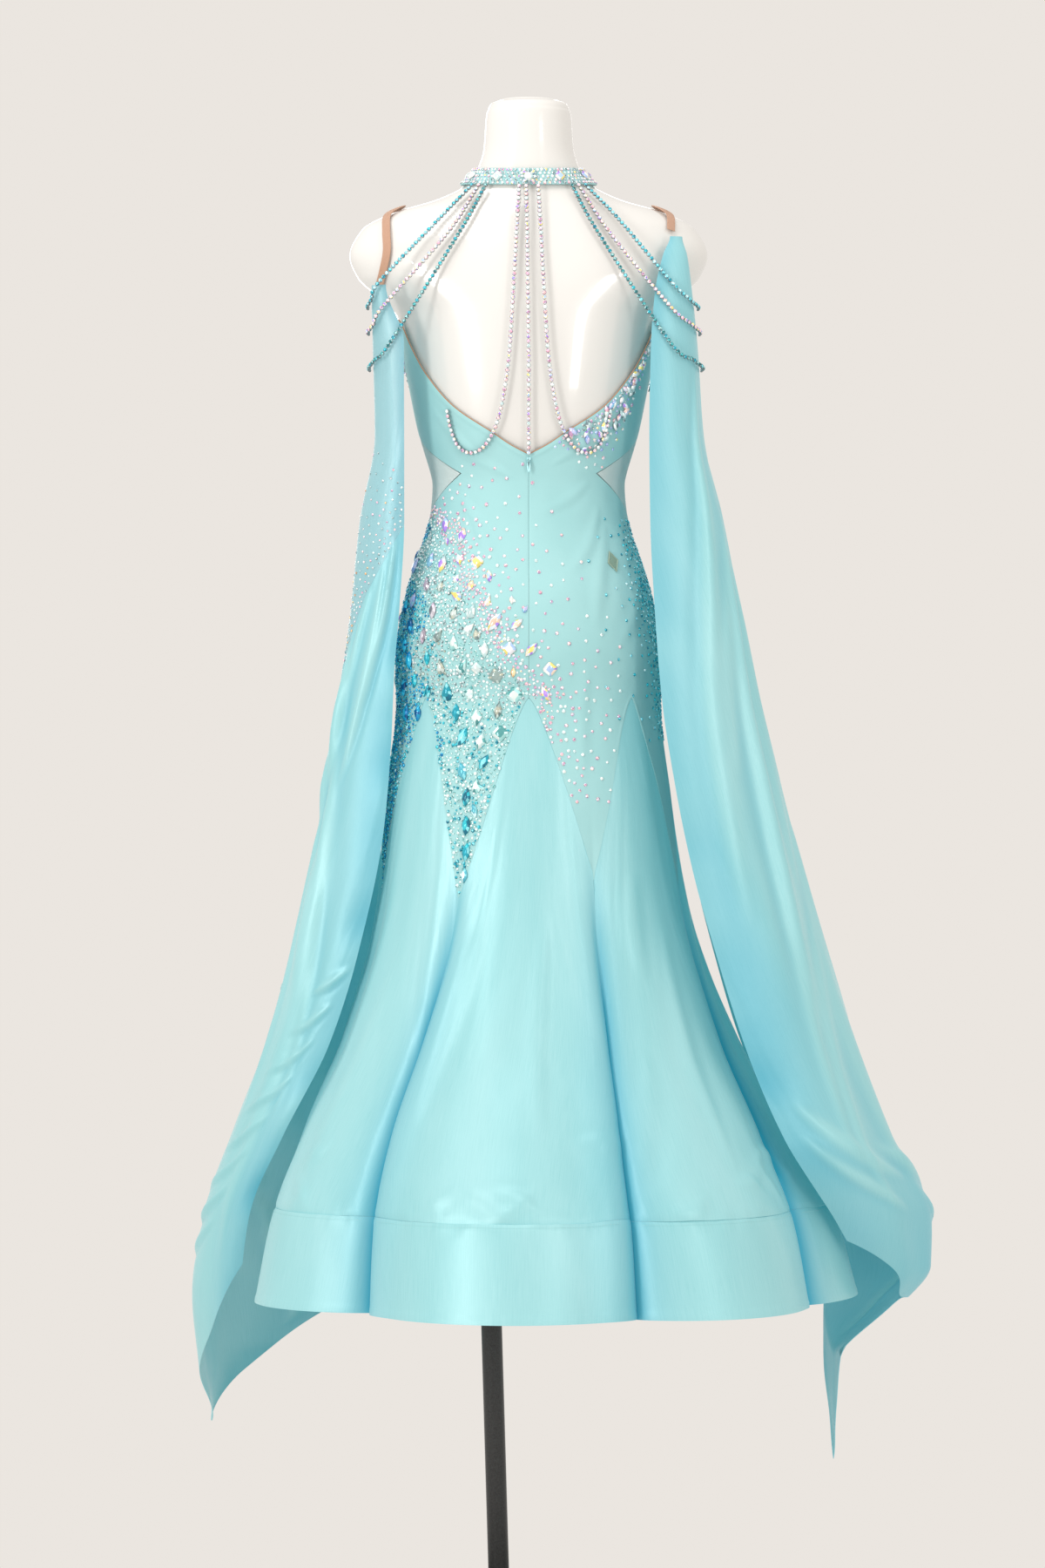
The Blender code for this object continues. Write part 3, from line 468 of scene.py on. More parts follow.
def tube_mesh(points, radius, sides):
    """Vertices and faces of a tube with flat ends along a line of points."""
    points = np.asarray(points, float)
    ahead = unit(np.gradient(points, axis=0))
    guide = UP if abs(ahead[0][2]) < 0.9 else np.array([1.0, 0.0, 0.0])
    side = []
    last = np.cross(ahead[0], guide)
    for direction in ahead:
        last = last - direction * np.dot(last, direction)
        last /= np.linalg.norm(last)
        side.append(last)
    side = np.array(side)
    up = np.cross(ahead, side)
    turn = np.arange(sides) / sides * 2 * np.pi
    ring = (side[:, None] * np.cos(turn)[None, :, None] + up[:, None] * np.sin(turn)[None, :, None])
    verts = (points[:, None] + ring * radius).reshape(-1, 3)
    faces = []
    for n in range(len(points) - 1):
        for k in range(sides):
            a, b = n * sides + k, n * sides + (k + 1) % sides
            faces.append((a, b, b + sides, a + sides))
    faces.append(tuple(range(sides))[::-1])
    faces.append(tuple(range((len(points) - 1) * sides, len(points) * sides)))
    return verts, faces


def joined(parts):
    """Several vertex and face lists put together."""
    verts, faces, start = [], [], 0
    for some_verts, some_faces in parts:
        verts.append(np.asarray(some_verts, float))
        faces += [tuple(v + start for v in face) for face in some_faces]
        start += len(some_verts)
    return np.vstack(verts), faces


def mesh_object(name, verts, faces, material, smooth=40):
    """An object from vertices and faces, with its faces turned outwards."""
    mesh = bpy.data.meshes.new(name)
    mesh.from_pydata([tuple(v) for v in verts], [], faces)
    bm = bmesh.new()
    bm.from_mesh(mesh)
    bmesh.ops.recalc_face_normals(bm, faces=bm.faces[:])
    if bm.calc_volume(signed=True) < 0:
        bmesh.ops.reverse_faces(bm, faces=bm.faces[:])
    bm.to_mesh(mesh)
    bm.free()
    if smooth:
        mesh.shade_smooth()
        mesh.set_sharp_from_angle(angle=math.radians(smooth))
    return new_object(name, mesh, material)


# ---- finishes ----
class Value:
    """A node's output; arithmetic on it adds Math nodes."""

    def __init__(self, finish, socket):
        self.finish, self.socket = finish, socket

    def math(self, operation, other):
        return self.finish.value(self.finish.node("ShaderNodeMath", {"operation": operation},
                                                  {0: self, 1: other}))

    def __add__(self, other):
        return self.math("ADD", other)

    def __mul__(self, other):
        return self.math("MULTIPLY", other)

    def between(self, low, high, to_low=0.0, to_high=1.0):
        made = self.finish.node("ShaderNodeMapRange", None, {
            "Value": self, "From Min": low, "From Max": high, "To Min": to_low, "To Max": to_high})
        return self.finish.value(made)


class Finish:
    """A material, with its shader's constant settings and a way to add nodes."""

    def __init__(self, name, **settings):
        self.material = bpy.data.materials.new(name)
        self.material.use_nodes = True
        self.tree = self.material.node_tree
        self.shader = self.tree.nodes["Principled BSDF"]
        for key, setting in settings.items():
            self.set(key, setting)

    def set(self, key, setting):
        wanted = {"ior_level": "Specular IOR Level"}.get(key, key.replace("_", " ").title())
        self.plug(self.shader.inputs[wanted], setting)

    def plug(self, socket, setting):
        if isinstance(setting, Value):
            self.tree.links.new(setting.socket, socket)
        elif hasattr(setting, "__len__") and len(setting) == 3 and socket.type == "RGBA":
            socket.default_value = (*setting, 1.0)
        else:
            socket.default_value = setting

    def node(self, kind, settings=None, inputs=None):
        made = self.tree.nodes.new(kind)
        for key, setting in (settings or {}).items():
            setattr(made, key, setting)
        for key, setting in (inputs or {}).items():
            self.plug(made.inputs[key], setting)
        return made

    def value(self, made, output=0):
        return Value(self, made.outputs[output])

    def place(self, kind):
        return self.value(self.node("ShaderNodeTexCoord"), kind)

    def stretched(self, vector, scale, turn=(0.0, 0.0, 0.0)):
        return self.value(self.node("ShaderNodeMapping", None, {
            "Vector": vector, "Scale": scale, "Rotation": turn}))

    def noise(self, vector, scale, detail=2.0, roughness=0.5, distortion=0.0):
        made = self.node("ShaderNodeTexNoise", None, {
            "Vector": vector, "Scale": scale, "Detail": detail, "Roughness": roughness,
            "Distortion": distortion})
        return self.value(made, "Fac")

    def wave(self, vector, scale, direction):
        made = self.node("ShaderNodeTexWave", {"bands_direction": direction}, {
            "Vector": vector, "Scale": scale})
        return self.value(made, "Fac")

    def blend(self, share, low, high):
        """Colour between two colours by a value."""
        made = self.node("ShaderNodeMix", {"data_type": "RGBA"}, {0: share, 6: low, 7: high})
        return self.value(made, 2)

    def bump(self, height, distance, strength=1.0, under=None):
        inputs = {"Height": height, "Distance": distance, "Strength": strength}
        if under is not None:
            inputs["Normal"] = under
        return self.value(self.node("ShaderNodeBump", None, inputs))

    def weave(self, across, threads):
        """Height of a plain weave of a number of threads to the metre on a UV map in metres."""
        warp = self.wave(across, threads / 2, "X")
        weft = self.wave(across, threads / 2, "Y")
        return warp.math("MAXIMUM", weft)


# ---- the settings a user would change ----
def colour_setting(name, default, description):
    return FloatVectorProperty(name=name, description=description, subtype="COLOR", size=3, min=0.0,
                               max=1.0, default=default)


class DressColours(bpy.types.PropertyGroup):
    crepe: colour_setting("Crepe", (0.36, 0.68, 0.7), "Stretch crepe of the body")
    satin: colour_setting("Satin", (0.29, 0.605, 0.635), "Satin organza of the skirt and floats")
    sheer: colour_setting("Sheer", (0.4, 0.635, 0.67), "Sheer sleeve")
    mesh: colour_setting("Mesh", (0.74, 0.88, 0.87), "Mesh of the side insets")
    elastic: colour_setting("Elastic", (0.66, 0.36, 0.22), "Skin-tone elastic of the straps")
    form: colour_setting("Form", (0.8, 0.79, 0.765), "Glossy dress form")
    stand: colour_setting("Stand", (0.005, 0.005, 0.005), "Coated pole and base")
    floor: colour_setting("Floor", (0.66, 0.63, 0.59), "Studio floor")


class DressSizes(bpy.types.PropertyGroup):
    small_stone: FloatProperty(name="Small stone", description="Width of the smallest stones",
                               default=0.0033, min=0.001, max=0.01, unit="LENGTH")
    chain_pitch: FloatProperty(name="Chain pitch", description="From one chain cup to the next",
                               default=0.0058, min=0.003, max=0.01, unit="LENGTH")
    puckers: FloatProperty(name="Puckers", description="Height of the puckers at the hem seam",
                           default=0.0016, min=0.0, max=0.004, unit="LENGTH")
    body_fineness: IntProperty(name="Body fineness", description="Mesh rows for each row of the solid",
                               default=8, min=2, max=16)


finishes = {}


def colours():
    return bpy.context.scene.dress_colours


def sizes():
    return bpy.context.scene.dress_sizes


def deeper(colour, share):
    return tuple(channel * share for channel in colour)


def paler(colour, share):
    return tuple(channel + (1 - channel) * share for channel in colour)


def make_crepe():
    crepe = Finish("stretch_crepe", roughness=0.62, sheen_weight=0.35, sheen_roughness=0.45, ior_level=0.35)
    flat = crepe.place("UV")
    body = crepe.place("Object")
    cloudy = crepe.noise(body, 9.0, 3.0)
    grain = crepe.noise(crepe.stretched(flat, (1.0, 0.55, 1.0)), 1500.0, 3.0, 0.7)
    tone = (cloudy * 0.7 + grain * 0.3).between(0.3, 0.7)
    base = tuple(colours().crepe)
    crepe.set("base_color", crepe.blend(tone, deeper(base, 0.93), paler(base, 0.05)))
    crepe.set("roughness", grain.between(0.2, 0.8, 0.55, 0.72))
    soft = crepe.bump(crepe.noise(crepe.stretched(body, (1.0, 1.0, 0.6)), 26.0, 2.0), 0.0022, 0.5)
    crepe.set("normal", crepe.bump(grain, 0.00025, 0.5, under=soft))
    return crepe.material


# painted shade: deep aqua blended into the folds, standing in for light that has passed through the cloth
# more than once
PAINTED_FOLD_SHADE_COLOUR = (0.005, 0.3, 0.46, 1.0)


def make_satin(name, base, streaks, alpha=1.0):
    # painted light: a faint aqua glow stands in for light passing through the thin silk
    satin = Finish(name, sheen_weight=0.22, sheen_roughness=0.3, ior_level=0.7, metallic=0.1,
                   emission_color=(0.06, 0.44, 0.5), emission_strength=0.17)
    flat = satin.place("UV")
    long_noise = satin.noise(satin.stretched(flat, (1.0, 0.3, 1.0)), 9.0, 2.0, 0.5, 0.5)
    weave = satin.weave(flat, 2600.0)
    slub = satin.noise(satin.stretched(flat, (1.0, 0.03, 1.0)), 900.0, 2.0)
    tone = (long_noise * 0.65 + slub * 0.35).between(0.3, 0.7)
    plain = satin.blend(tone, deeper(base, 0.93), paler(base, 0.12))
    # painted shade: the fold attribute blends the colour towards deep aqua in the valleys and creases
    painted_fold_shade = satin.value(satin.node("ShaderNodeAttribute", {"attribute_name": "painted_fold_shade"}), "Fac")
    satin.set("base_color", satin.blend(painted_fold_shade, plain, PAINTED_FOLD_SHADE_COLOUR))
    satin.set("roughness", (slub * 0.5 + weave * 0.5).between(0.2, 0.8, 0.26, 0.4))
    drift = satin.bump(long_noise, streaks, 0.55)
    crisp = satin.noise(satin.stretched(flat, (1.0, 0.45, 1.0)), 42.0, 2.0, 0.5, 0.6)
    ruffled = satin.bump(crisp, streaks * 0.1, 0.4, under=drift)
    satin.set("normal", satin.bump(weave * 0.6 + slub * 0.4, 0.0001, 0.35, under=ruffled))
    if alpha < 1.0:
        satin.set("alpha", weave.between(0.2, 0.9, alpha - 0.08, alpha + 0.08))
    return satin.material


def make_mesh_cloth():
    net = Finish("inset_net", roughness=0.7, sheen_weight=0.3, ior_level=0.3)
    flat = net.place("UV")
    threads = net.weave(net.stretched(flat, (1.0, 1.0, 1.0), (0.0, 0.0, 0.785)), 900.0)
    base = tuple(colours().mesh)
    net.set("base_color", net.blend(threads, deeper(base, 0.9), paler(base, 0.25)))
    net.set("alpha", threads.between(0.35, 0.9, 0.62, 0.86))
    net.set("normal", net.bump(threads, 0.0003, 0.5))
    return net.material


def make_elastic():
    elastic = Finish("strap_elastic", roughness=0.7, ior_level=0.35, sheen_weight=0.2)
    flat = elastic.place("UV")
    ribs = elastic.wave(flat, 560.0, "X")
    picks = elastic.wave(flat, 900.0, "Y")
    weave = ribs * 0.6 + picks * 0.4
    base = tuple(colours().elastic)
    elastic.set("base_color", elastic.blend(weave, deeper(base, 0.75), paler(base, 0.12)))
    elastic.set("normal", elastic.bump(weave, 0.0003, 0.7))
    return elastic.material


def make_stone():
    # painted light: the stones glow faintly in each facet's tint
    stone = Finish("cut_stone", roughness=0.14, metallic=0.2, coat_weight=0.25, coat_roughness=0.03,
                   ior_level=0.5, emission_strength=0.16)
    tint = stone.value(stone.node("ShaderNodeVertexColor", {"layer_name": "tint"}), "Color")
    # painted glints: fine noise lightens and darkens the stones' tint in patches, standing in for sparkle
    painted_glints = stone.noise(stone.place("Object"), 420.0, 1.0)
    glinted_tint = stone.node("ShaderNodeMix", {"data_type": "RGBA", "blend_type": "SOFT_LIGHT"},
                        {0: 0.45, 6: tint, 7: (0.5, 0.5, 0.5)})
    stone.tree.links.new(stone.blend(painted_glints, (0.25, 0.25, 0.28), (0.95, 0.95, 0.95)).socket,
                         glinted_tint.inputs[7])
    stone.set("base_color", stone.value(glinted_tint, 2))
    stone.set("emission_color", tint)
    return stone.material


def make_metal(name, base, roughness, metallic, scale=900.0):
    metal = Finish(name, metallic=metallic, coat_weight=0.15)
    worn = metal.noise(metal.place("Object"), scale, 3.0)
    metal.set("base_color", metal.blend(worn, deeper(base, 0.88), paler(base, 0.06)))
    metal.set("roughness", worn.between(0.25, 0.75, roughness * 0.8, roughness * 1.3))
    metal.set("normal", metal.bump(worn, 0.00005, 0.25))
    return metal.material


def make_gloss():
    gloss = Finish("form_gloss", coat_weight=0.8, coat_roughness=0.05, ior_level=0.5)
    body = gloss.place("Object")
    cloudy = gloss.noise(body, 5.0, 3.0)
    fine = gloss.noise(body, 160.0, 2.0)
    base = tuple(colours().form)
    gloss.set("base_color", gloss.blend(cloudy, deeper(base, 0.97), paler(base, 0.15)))
    gloss.set("roughness", (cloudy * 0.6 + fine * 0.4).between(0.3, 0.7, 0.12, 0.24))
    gloss.set("normal", gloss.bump(gloss.noise(body, 14.0, 1.0), 0.001, 0.12))
    return gloss.material


def make_floor_finish():
    floor = Finish("studio_floor", roughness=0.85, ior_level=0.2)
    speck = floor.noise(floor.place("Object"), 60.0, 3.0)
    base = tuple(colours().floor)
    floor.set("base_color", floor.blend(speck, deeper(base, 0.985), paler(base, 0.05)))
    return floor.material


class DRESS_OT_finishes(bpy.types.Operator):
    """Make the cloth, stone, metal and form finishes"""

    bl_idname = "dress.finishes"
    bl_label = "Finishes"

    def execute(self, context):
        satin, sheer, stand = (tuple(c) for c in (colours().satin, colours().sheer, colours().stand))
        finishes.update(
            crepe=make_crepe(),
            satin=make_satin("silk_satin", satin, 0.006),
            band=make_satin("band_satin", satin, 0.0035),
            sheer=make_satin("sheer_organza", sheer, 0.006, alpha=0.74),
            mesh=make_mesh_cloth(),
            elastic=make_elastic(),
            stone=make_stone(),
            cup=make_metal("chain_silver", (0.34, 0.36, 0.37), 0.25, 1.0),
            plaque=make_metal("plaque_enamel", (0.4, 0.5, 0.38), 0.3, 0.4),
            zip=make_metal("zip_enamel", (0.42, 0.8, 0.85), 0.32, 0.35),
            coil=make_metal("zip_coil", (0.1, 0.32, 0.36), 0.5, 0.0),
            form=make_gloss(),
            steel=make_metal("powder_coat", stand, 0.42, 0.3, 500.0),
            floor=make_floor_finish())
        return {"FINISHED"}


# ---- hard pieces made by hand ----
def start_piece(name):
    thing = bpy.context.object
    thing.name = name
    thing.data.name = name
    return thing


def edit(thing, mode="FACE"):
    bpy.ops.object.select_all(action="DESELECT")
    thing.select_set(True)
    bpy.context.view_layer.objects.active = thing
    bpy.ops.object.mode_set(mode="EDIT")
    bpy.ops.mesh.select_mode(type=mode)
    bpy.ops.mesh.select_all(action="DESELECT")


def pick_faces(thing, test):
    bm = bmesh.from_edit_mesh(thing.data)
    for face in bm.faces:
        face.select_set(bool(test(face)))
    bmesh.update_edit_mesh(thing.data)


def inset(inwards, move):
    """Insets the picked faces and moves what they leave inside."""
    bpy.ops.mesh.inset(thickness=inwards, depth=0.0)
    bpy.ops.transform.translate(value=move)


def leave_edit(thing, material, body="dress", smooth=35, bevel=0.0):
    bpy.ops.object.mode_set(mode="OBJECT")
    bpy.ops.object.transform_apply(location=True, rotation=True, scale=True)
    if bevel:
        cut = thing.modifiers.new("edge", "BEVEL")
        cut.width, cut.segments, cut.limit_method, cut.angle_limit = bevel, 3, "ANGLE", math.radians(30)
        bpy.ops.object.modifier_apply(modifier=cut.name)
    bpy.ops.object.shade_smooth_by_angle(angle=math.radians(smooth))
    thing.data.materials.append(material)
    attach(thing, body)


def stepped_top(thing, steps):
    """Builds a turned top, ring by ring, from the cylinder's upper face."""
    edit(thing)
    highest = max(v.co.z for v in thing.data.vertices)
    pick_faces(thing, lambda face: face.normal.z > 0.9 and face.calc_center_median().z > highest - 1e-4)
    for inwards, rise in steps:
        inset(inwards, (0.0, 0.0, rise))


BASE_RIM = 0.003
# the turned base's top from its rim inwards: how far in, how far up
BASE_STEPS = [(0.004, 0.003), (0.026, 0.003), (0.153, 0.004), (0.002, 0.013)]
POLE_RADIUS = 0.0128


class DRESS_OT_stand(bpy.types.Operator):
    """Turn the round base, the pole and its flange"""

    bl_idname = "dress.stand"
    bl_label = "Stand"

    def execute(self, context):
        low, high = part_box("stand_base")
        middle_x, radius = (low[0] + high[0]) / 2, (high[0] - low[0]) / 2
        bpy.ops.mesh.primitive_cylinder_add(vertices=96, radius=radius, depth=BASE_RIM,
                                            location=(middle_x, 0.0, BASE_RIM / 2))
        base = start_piece("stand_base_turned")
        stepped_top(base, BASE_STEPS + [(0.004, high[2] - 0.026)])
        leave_edit(base, finishes["steel"], bevel=0.0007)
        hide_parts("stand_base")
        low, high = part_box("stand_flange")
        drop = high[2] - low[2]
        bpy.ops.mesh.primitive_cylinder_add(
            vertices=64, radius=(high[0] - low[0]) / 2, depth=drop * 0.45,
            location=((low[0] + high[0]) / 2, 0.0, high[2] - drop * 0.225), rotation=(math.pi, 0.0, 0.0))
        flange = start_piece("stand_flange_turned")
        bpy.ops.object.transform_apply(location=False, rotation=True, scale=False)
        edit(flange)
        pick_faces(flange, lambda face: face.normal.z < -0.9)
        inset(0.012, (0.0, 0.0, -drop * 0.4))
        inset(0.002, (0.0, 0.0, -drop * 0.12))
        leave_edit(flange, finishes["steel"], bevel=0.0006)
        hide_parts("stand_flange")
        low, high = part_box("stand_pole")
        foot = Vector((low[0] + POLE_RADIUS, 0.0, low[2]))
        top = Vector((high[0] - POLE_RADIUS, 0.0, high[2]))
        line = top - foot
        bpy.ops.mesh.primitive_cylinder_add(vertices=48, radius=POLE_RADIUS, depth=line.length,
                                            location=(foot + top) / 2,
                                            rotation=line.to_track_quat("Z", "Y").to_euler())
        pole = start_piece("stand_pole_tube")
        edit(pole)
        pick_faces(pole, lambda face: abs(face.normal.z) > 0.9)
        bpy.ops.mesh.inset(thickness=0.0015, depth=0.0)
        leave_edit(pole, finishes["steel"], bevel=0.0006)
        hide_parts("stand_pole")
        return {"FINISHED"}


NECK_GROOVE = 1.8515         # the fine line round the neck under its cut


class DRESS_OT_form(bpy.types.Operator):
    """Shape the glossy limbless form"""

    bl_idname = "dress.form"
    bl_label = "Form"

    def execute(self, context):
        bpy.ops.mesh.primitive_grid_add(x_subdivisions=120, y_subdivisions=150, size=1.0)
        torso = start_piece("form_body")
        count = len(torso.data.vertices)
        places = np.empty(count * 3)
        torso.data.vertices.foreach_get("co", places)
        places = places.reshape(-1, 3) + 0.5
        keys = form_table.key
        up = places[:, 1] * (len(keys) - 1)
        heights = np.interp(up, np.arange(len(keys)), keys)
        skin = form_point(360.0 * places[:, 0], heights)
        groove = 0.0009 * near(heights, NECK_GROOVE, 0.0012)
        skin[:, :2] *= (1 - groove / 0.05)[:, None]
        torso.data.vertices.foreach_set("co", skin.ravel())
        edit(torso, "VERT")
        bpy.ops.mesh.select_all(action="SELECT")
        bpy.ops.mesh.remove_doubles(threshold=0.00002)
        bpy.ops.mesh.select_all(action="DESELECT")
        bpy.ops.mesh.select_non_manifold()
        bpy.ops.mesh.fill_holes(sides=0)
        bpy.ops.mesh.select_all(action="SELECT")
        bpy.ops.mesh.normals_make_consistent(inside=False)
        leave_edit(torso, finishes["form"], smooth=50)
        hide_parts("form_torso")
        return {"FINISHED"}


# ---- the body ----
GIRTH = 0.13                 # metres along the body for one radian round it
# s is metres round from the centre back, and z the height
BODY_CREASES = crease_table([
    (98, 1372, 30, 1262, 9, 2.2, 6), (92, 1352, 45, 1225, 7.5, 1.7, -5), (150, 1330, 85, 1248, 8.5, 1.8, 6),
    (128, 1300, 60, 1190, 10, 1.3, 4), (180, 1250, 120, 1150, 9, 1.2, 3), (94, 1425, 22, 1395, 6, 1.2, 3),
    (128, 1480, 58, 1415, 6.2, 1.4, -3), (30, 1205, 14, 1135, 7.5, 1.1, 2), (62, 1115, 56, 985, 6, 1.3, 2),
    (-104, 1360, -48, 1278, 8.5, 1.9, 6), (-112, 1338, -70, 1210, 10, 2.1, -6),
    (-90, 1392, -18, 1352, 7, 1.3, 4), (-165, 1305, -100, 1192, 9, 1.6, 6),
    (-135, 1485, -70, 1430, 6, 1.5, 3), (-100, 1462, -30, 1412, 5.5, 1.1, 2),
    (-60, 1170, -52, 1020, 8, 1.6, -3), (-150, 1170, -172, 1010, 8, 1.4, 4),
    (300, 1362, 372, 1275, 9, 1.9, 5), (290, 1335, 345, 1205, 9.5, 1.7, -6),
    (262, 1300, 320, 1178, 8.5, 1.3, 4), (305, 1452, 352, 1500, 7, 1.6, 2),
    (318, 1425, 398, 1452, 7, 1.4, 4), (-296, 1366, -362, 1262, 9, 2.1, 6),
    (-285, 1322, -352, 1225, 8.5, 1.5, -4), (-258, 1285, -330, 1160, 9.5, 1.4, 5),
    (-300, 1448, -345, 1505, 6.5, 1.5, -3), (-322, 1430, -392, 1446, 6.5, 1.2, 3),
    (395, 1240, 388, 1140, 8, 1.2, 3),
])


def body_rise(angle, height):
    """How far the body's cloth stands out from its solid's outer face."""
    away = wrapped(angle)
    s = np.radians(away) * GIRTH
    rise = creased(s, height, BODY_CREASES)
    rise = rise + 0.00035 * soft_noise(s * 45.0 + 20, height * 30.0, 3)
    rise *= 1.0 - near(away, 0.0, 2.2)
    rise += 0.0007 * near(height, top_height(away) - 0.0045, 0.0028)
    rise += 0.0006 * near(height, point_height(away) + 0.0045, 0.0028)
    pinch = near(away, 0.0, 0.55) * (height > 1.272)
    return rise - 0.0006 * pinch


def side_edge(side):
    low = point_height(side * SIDE_SEAM)
    rows = [(SIDE_SEAM, mix(low, INSET_BOTTOM, n / LOWER_CUTS)) for n in range(LOWER_CUTS)]
    corners = [(SIDE_SEAM, INSET_BOTTOM), (INSET_TIP, INSET_MIDDLE), (SIDE_SEAM, INSET_TOP)]
    for (a, b), (c, d) in zip(corners, corners[1:]):
        rows += [(mix(a, c, n / INSET_CUTS), mix(b, d, n / INSET_CUTS)) for n in range(INSET_CUTS)]
    top = float(top_height(SIDE_SEAM))
    rows += [(SIDE_SEAM, mix(INSET_TOP, top, n / UPPER_CUTS)) for n in range(UPPER_CUTS + 1)]
    return np.array([(side * angle, height) for angle, height in rows])


def middle_edge():
    low, high = float(point_height(0.0)), float(top_height(0.0))
    below, above = LOWER_CUTS + INSET_CUTS, INSET_CUTS + UPPER_CUTS
    heights = [mix(low, MIDDLE_AT_TIP, n / below) for n in range(below)]
    heights += [mix(MIDDLE_AT_TIP, high, n / above) for n in range(above + 1)]
    return np.array([(0.0, height) for height in heights])


VISIBLE_GAP = 0.0005         # between the body's zigzag edge and the godets


def body_panel(name, first, last, columns):
    coarse = len(first) - 1
    row = np.linspace(0.0, coarse, coarse * sizes().body_fineness + 1)[:, None]
    even = np.linspace(0.0, 1.0, columns + 1)[None, :]
    index = np.arange(coarse + 1)
    first_angle, last_angle = (np.interp(row, index, edge[:, 0]) for edge in (first, last))
    first_height, last_height = (np.interp(row, index, edge[:, 1]) for edge in (first, last))
    angle = mix(first_angle, last_angle, even)
    height = mix(first_height, last_height, even)
    to_seam = np.maximum(1.0 - row / LOWER_CUTS, 0.0) ** 2
    to_top = np.maximum(1.0 - (coarse - row) / UPPER_CUTS, 0.0) ** 2
    height = (height + to_seam * (point_height(angle) + VISIBLE_GAP - mix(first[0, 1], last[0, 1], even))
              + to_top * (top_height(angle) - mix(first[-1, 1], last[-1, 1], even)))
    aside = np.zeros(columns + 1)
    aside[0], aside[-1] = 1, -1
    aside = np.broadcast_to(aside, angle.shape)
    rise = body_rise(angle, height)
    inner = cloth_point(angle, height, rise, aside)
    outer = cloth_point(angle, height, CREPE + rise, aside)
    return shell(name, inner, outer, False, finishes["crepe"])


class DRESS_OT_body(bpy.types.Operator):
    """Cut the two back panels and the front, with their creases"""

    bl_idname = "dress.body"
    bl_label = "Body panels"

    def execute(self, context):
        left, right = side_edge(1), side_edge(-1)
        front_left, front_right = (np.stack([180.0 - edge[:, 0], edge[:, 1]], axis=-1)
                                   for edge in (left, right))
        for name, first, last, columns, flat in (
                ("back_left", middle_edge(), left, 84, (0.245, 0.66, 0.095)),
                ("back_right", right, middle_edge(), 84, (0.245, 0.64, 0.095)),
                ("front", front_left, front_right, 150, (0.46, 0.76, 0.225))):
            panel = body_panel("panel_" + name, first, last, columns)
            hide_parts(name)
        return {"FINISHED"}


class DRESS_OT_insets(bpy.types.Operator):
    """Cut the two net diamonds of the waist"""

    bl_idname = "dress.insets"
    bl_label = "Side insets"

    def execute(self, context):
        reach = (SIDE_SEAM - INSET_TIP) * INSET_SHRINK
        up_reach = (INSET_TOP - INSET_MIDDLE) * INSET_SHRINK
        down_reach = (INSET_MIDDLE - INSET_BOTTOM) * INSET_SHRINK
        fine = np.linspace(0.0, 1.0, 49)
        across, up = fine[None, :], fine[:, None]
        turn = (up - across) * reach
        rise = across + up - 1.0
        height = INSET_MIDDLE + rise * np.where(rise > 0, up_reach, down_reach)
        for name, side in (("inset_left", 1), ("inset_right", -1)):
            angle = side * (SIDE_SEAM + turn)
            lift = body_rise(angle, height) * 0.4
            inner = cloth_point(angle, height, 0.0002 + lift)
            outer = cloth_point(angle, height, 0.0009 + lift)
            net = shell(name + "_net", inner, outer, side > 0, finishes["mesh"])
            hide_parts(name)
        return {"FINISHED"}


# ---- the skirt ----
def seam_puckers(s, z, seed):
    """Small gathers just above and below the hem band's seam."""
    strength = 0.5 + 0.5 * soft_noise(s * 9.0, z * 0.0 + seed, 8)
    large = soft_noise(s * 60.0 + z * 22.0, z * 34.0, seed)
    small = soft_noise(s * 130.0, z * 60.0, seed + 1)
    return sizes().puckers * (large + 0.5 * small) * strength


# how far each flute's first and last shoulders stand over the valley beside them, in metres
OVERHANGS = [(0.0125, 0.01), (0.0035, 0.011), (0.004, 0.0105), (0.011, 0.004), (0.0035, 0.01),
             (0.011, 0.003), (0.003, 0.0035)]


def to_edge(across):
    """How far across a panel a place is from its nearer edge."""
    return np.minimum(across, 1.0 - across)


def fallen(height):
    """How fully the flutes have formed by a height."""
    return ease((0.95 - height) / 0.34)


def flute_lip(n, across, height):
    """The flutes' shoulders swell beside each valley and close it to a narrow fold."""
    first, last = OVERHANGS[n]
    swell = first * 1.05 * near(across, 0.095, 0.055) + last * 1.05 * near(across, 0.905, 0.055)
    return swell * fallen(height) * ease(to_edge(across) / 0.05)


def flute_shift(n, across, height):
    """How far a flute's cloth is drawn sideways over the valleys, in seam gaps."""
    first, last = OVERHANGS[n]
    shift = last * near(across, 0.93, 0.05) - first * near(across, 0.07, 0.05)
    return shift * fallen(height) * ease(to_edge(across) / 0.035) / (SEAM_GAP * 0.6)


def flute_fold_shade(across, height):
    """How much painted shade a flute's cloth takes, deepest in the valleys' folds."""
    depth = near(to_edge(across), 0, 0.07) + 0.34 * near(to_edge(across), 0, 0.15)
    return np.clip(depth, 0, 1) * ease((0.98 - height) / 0.3)


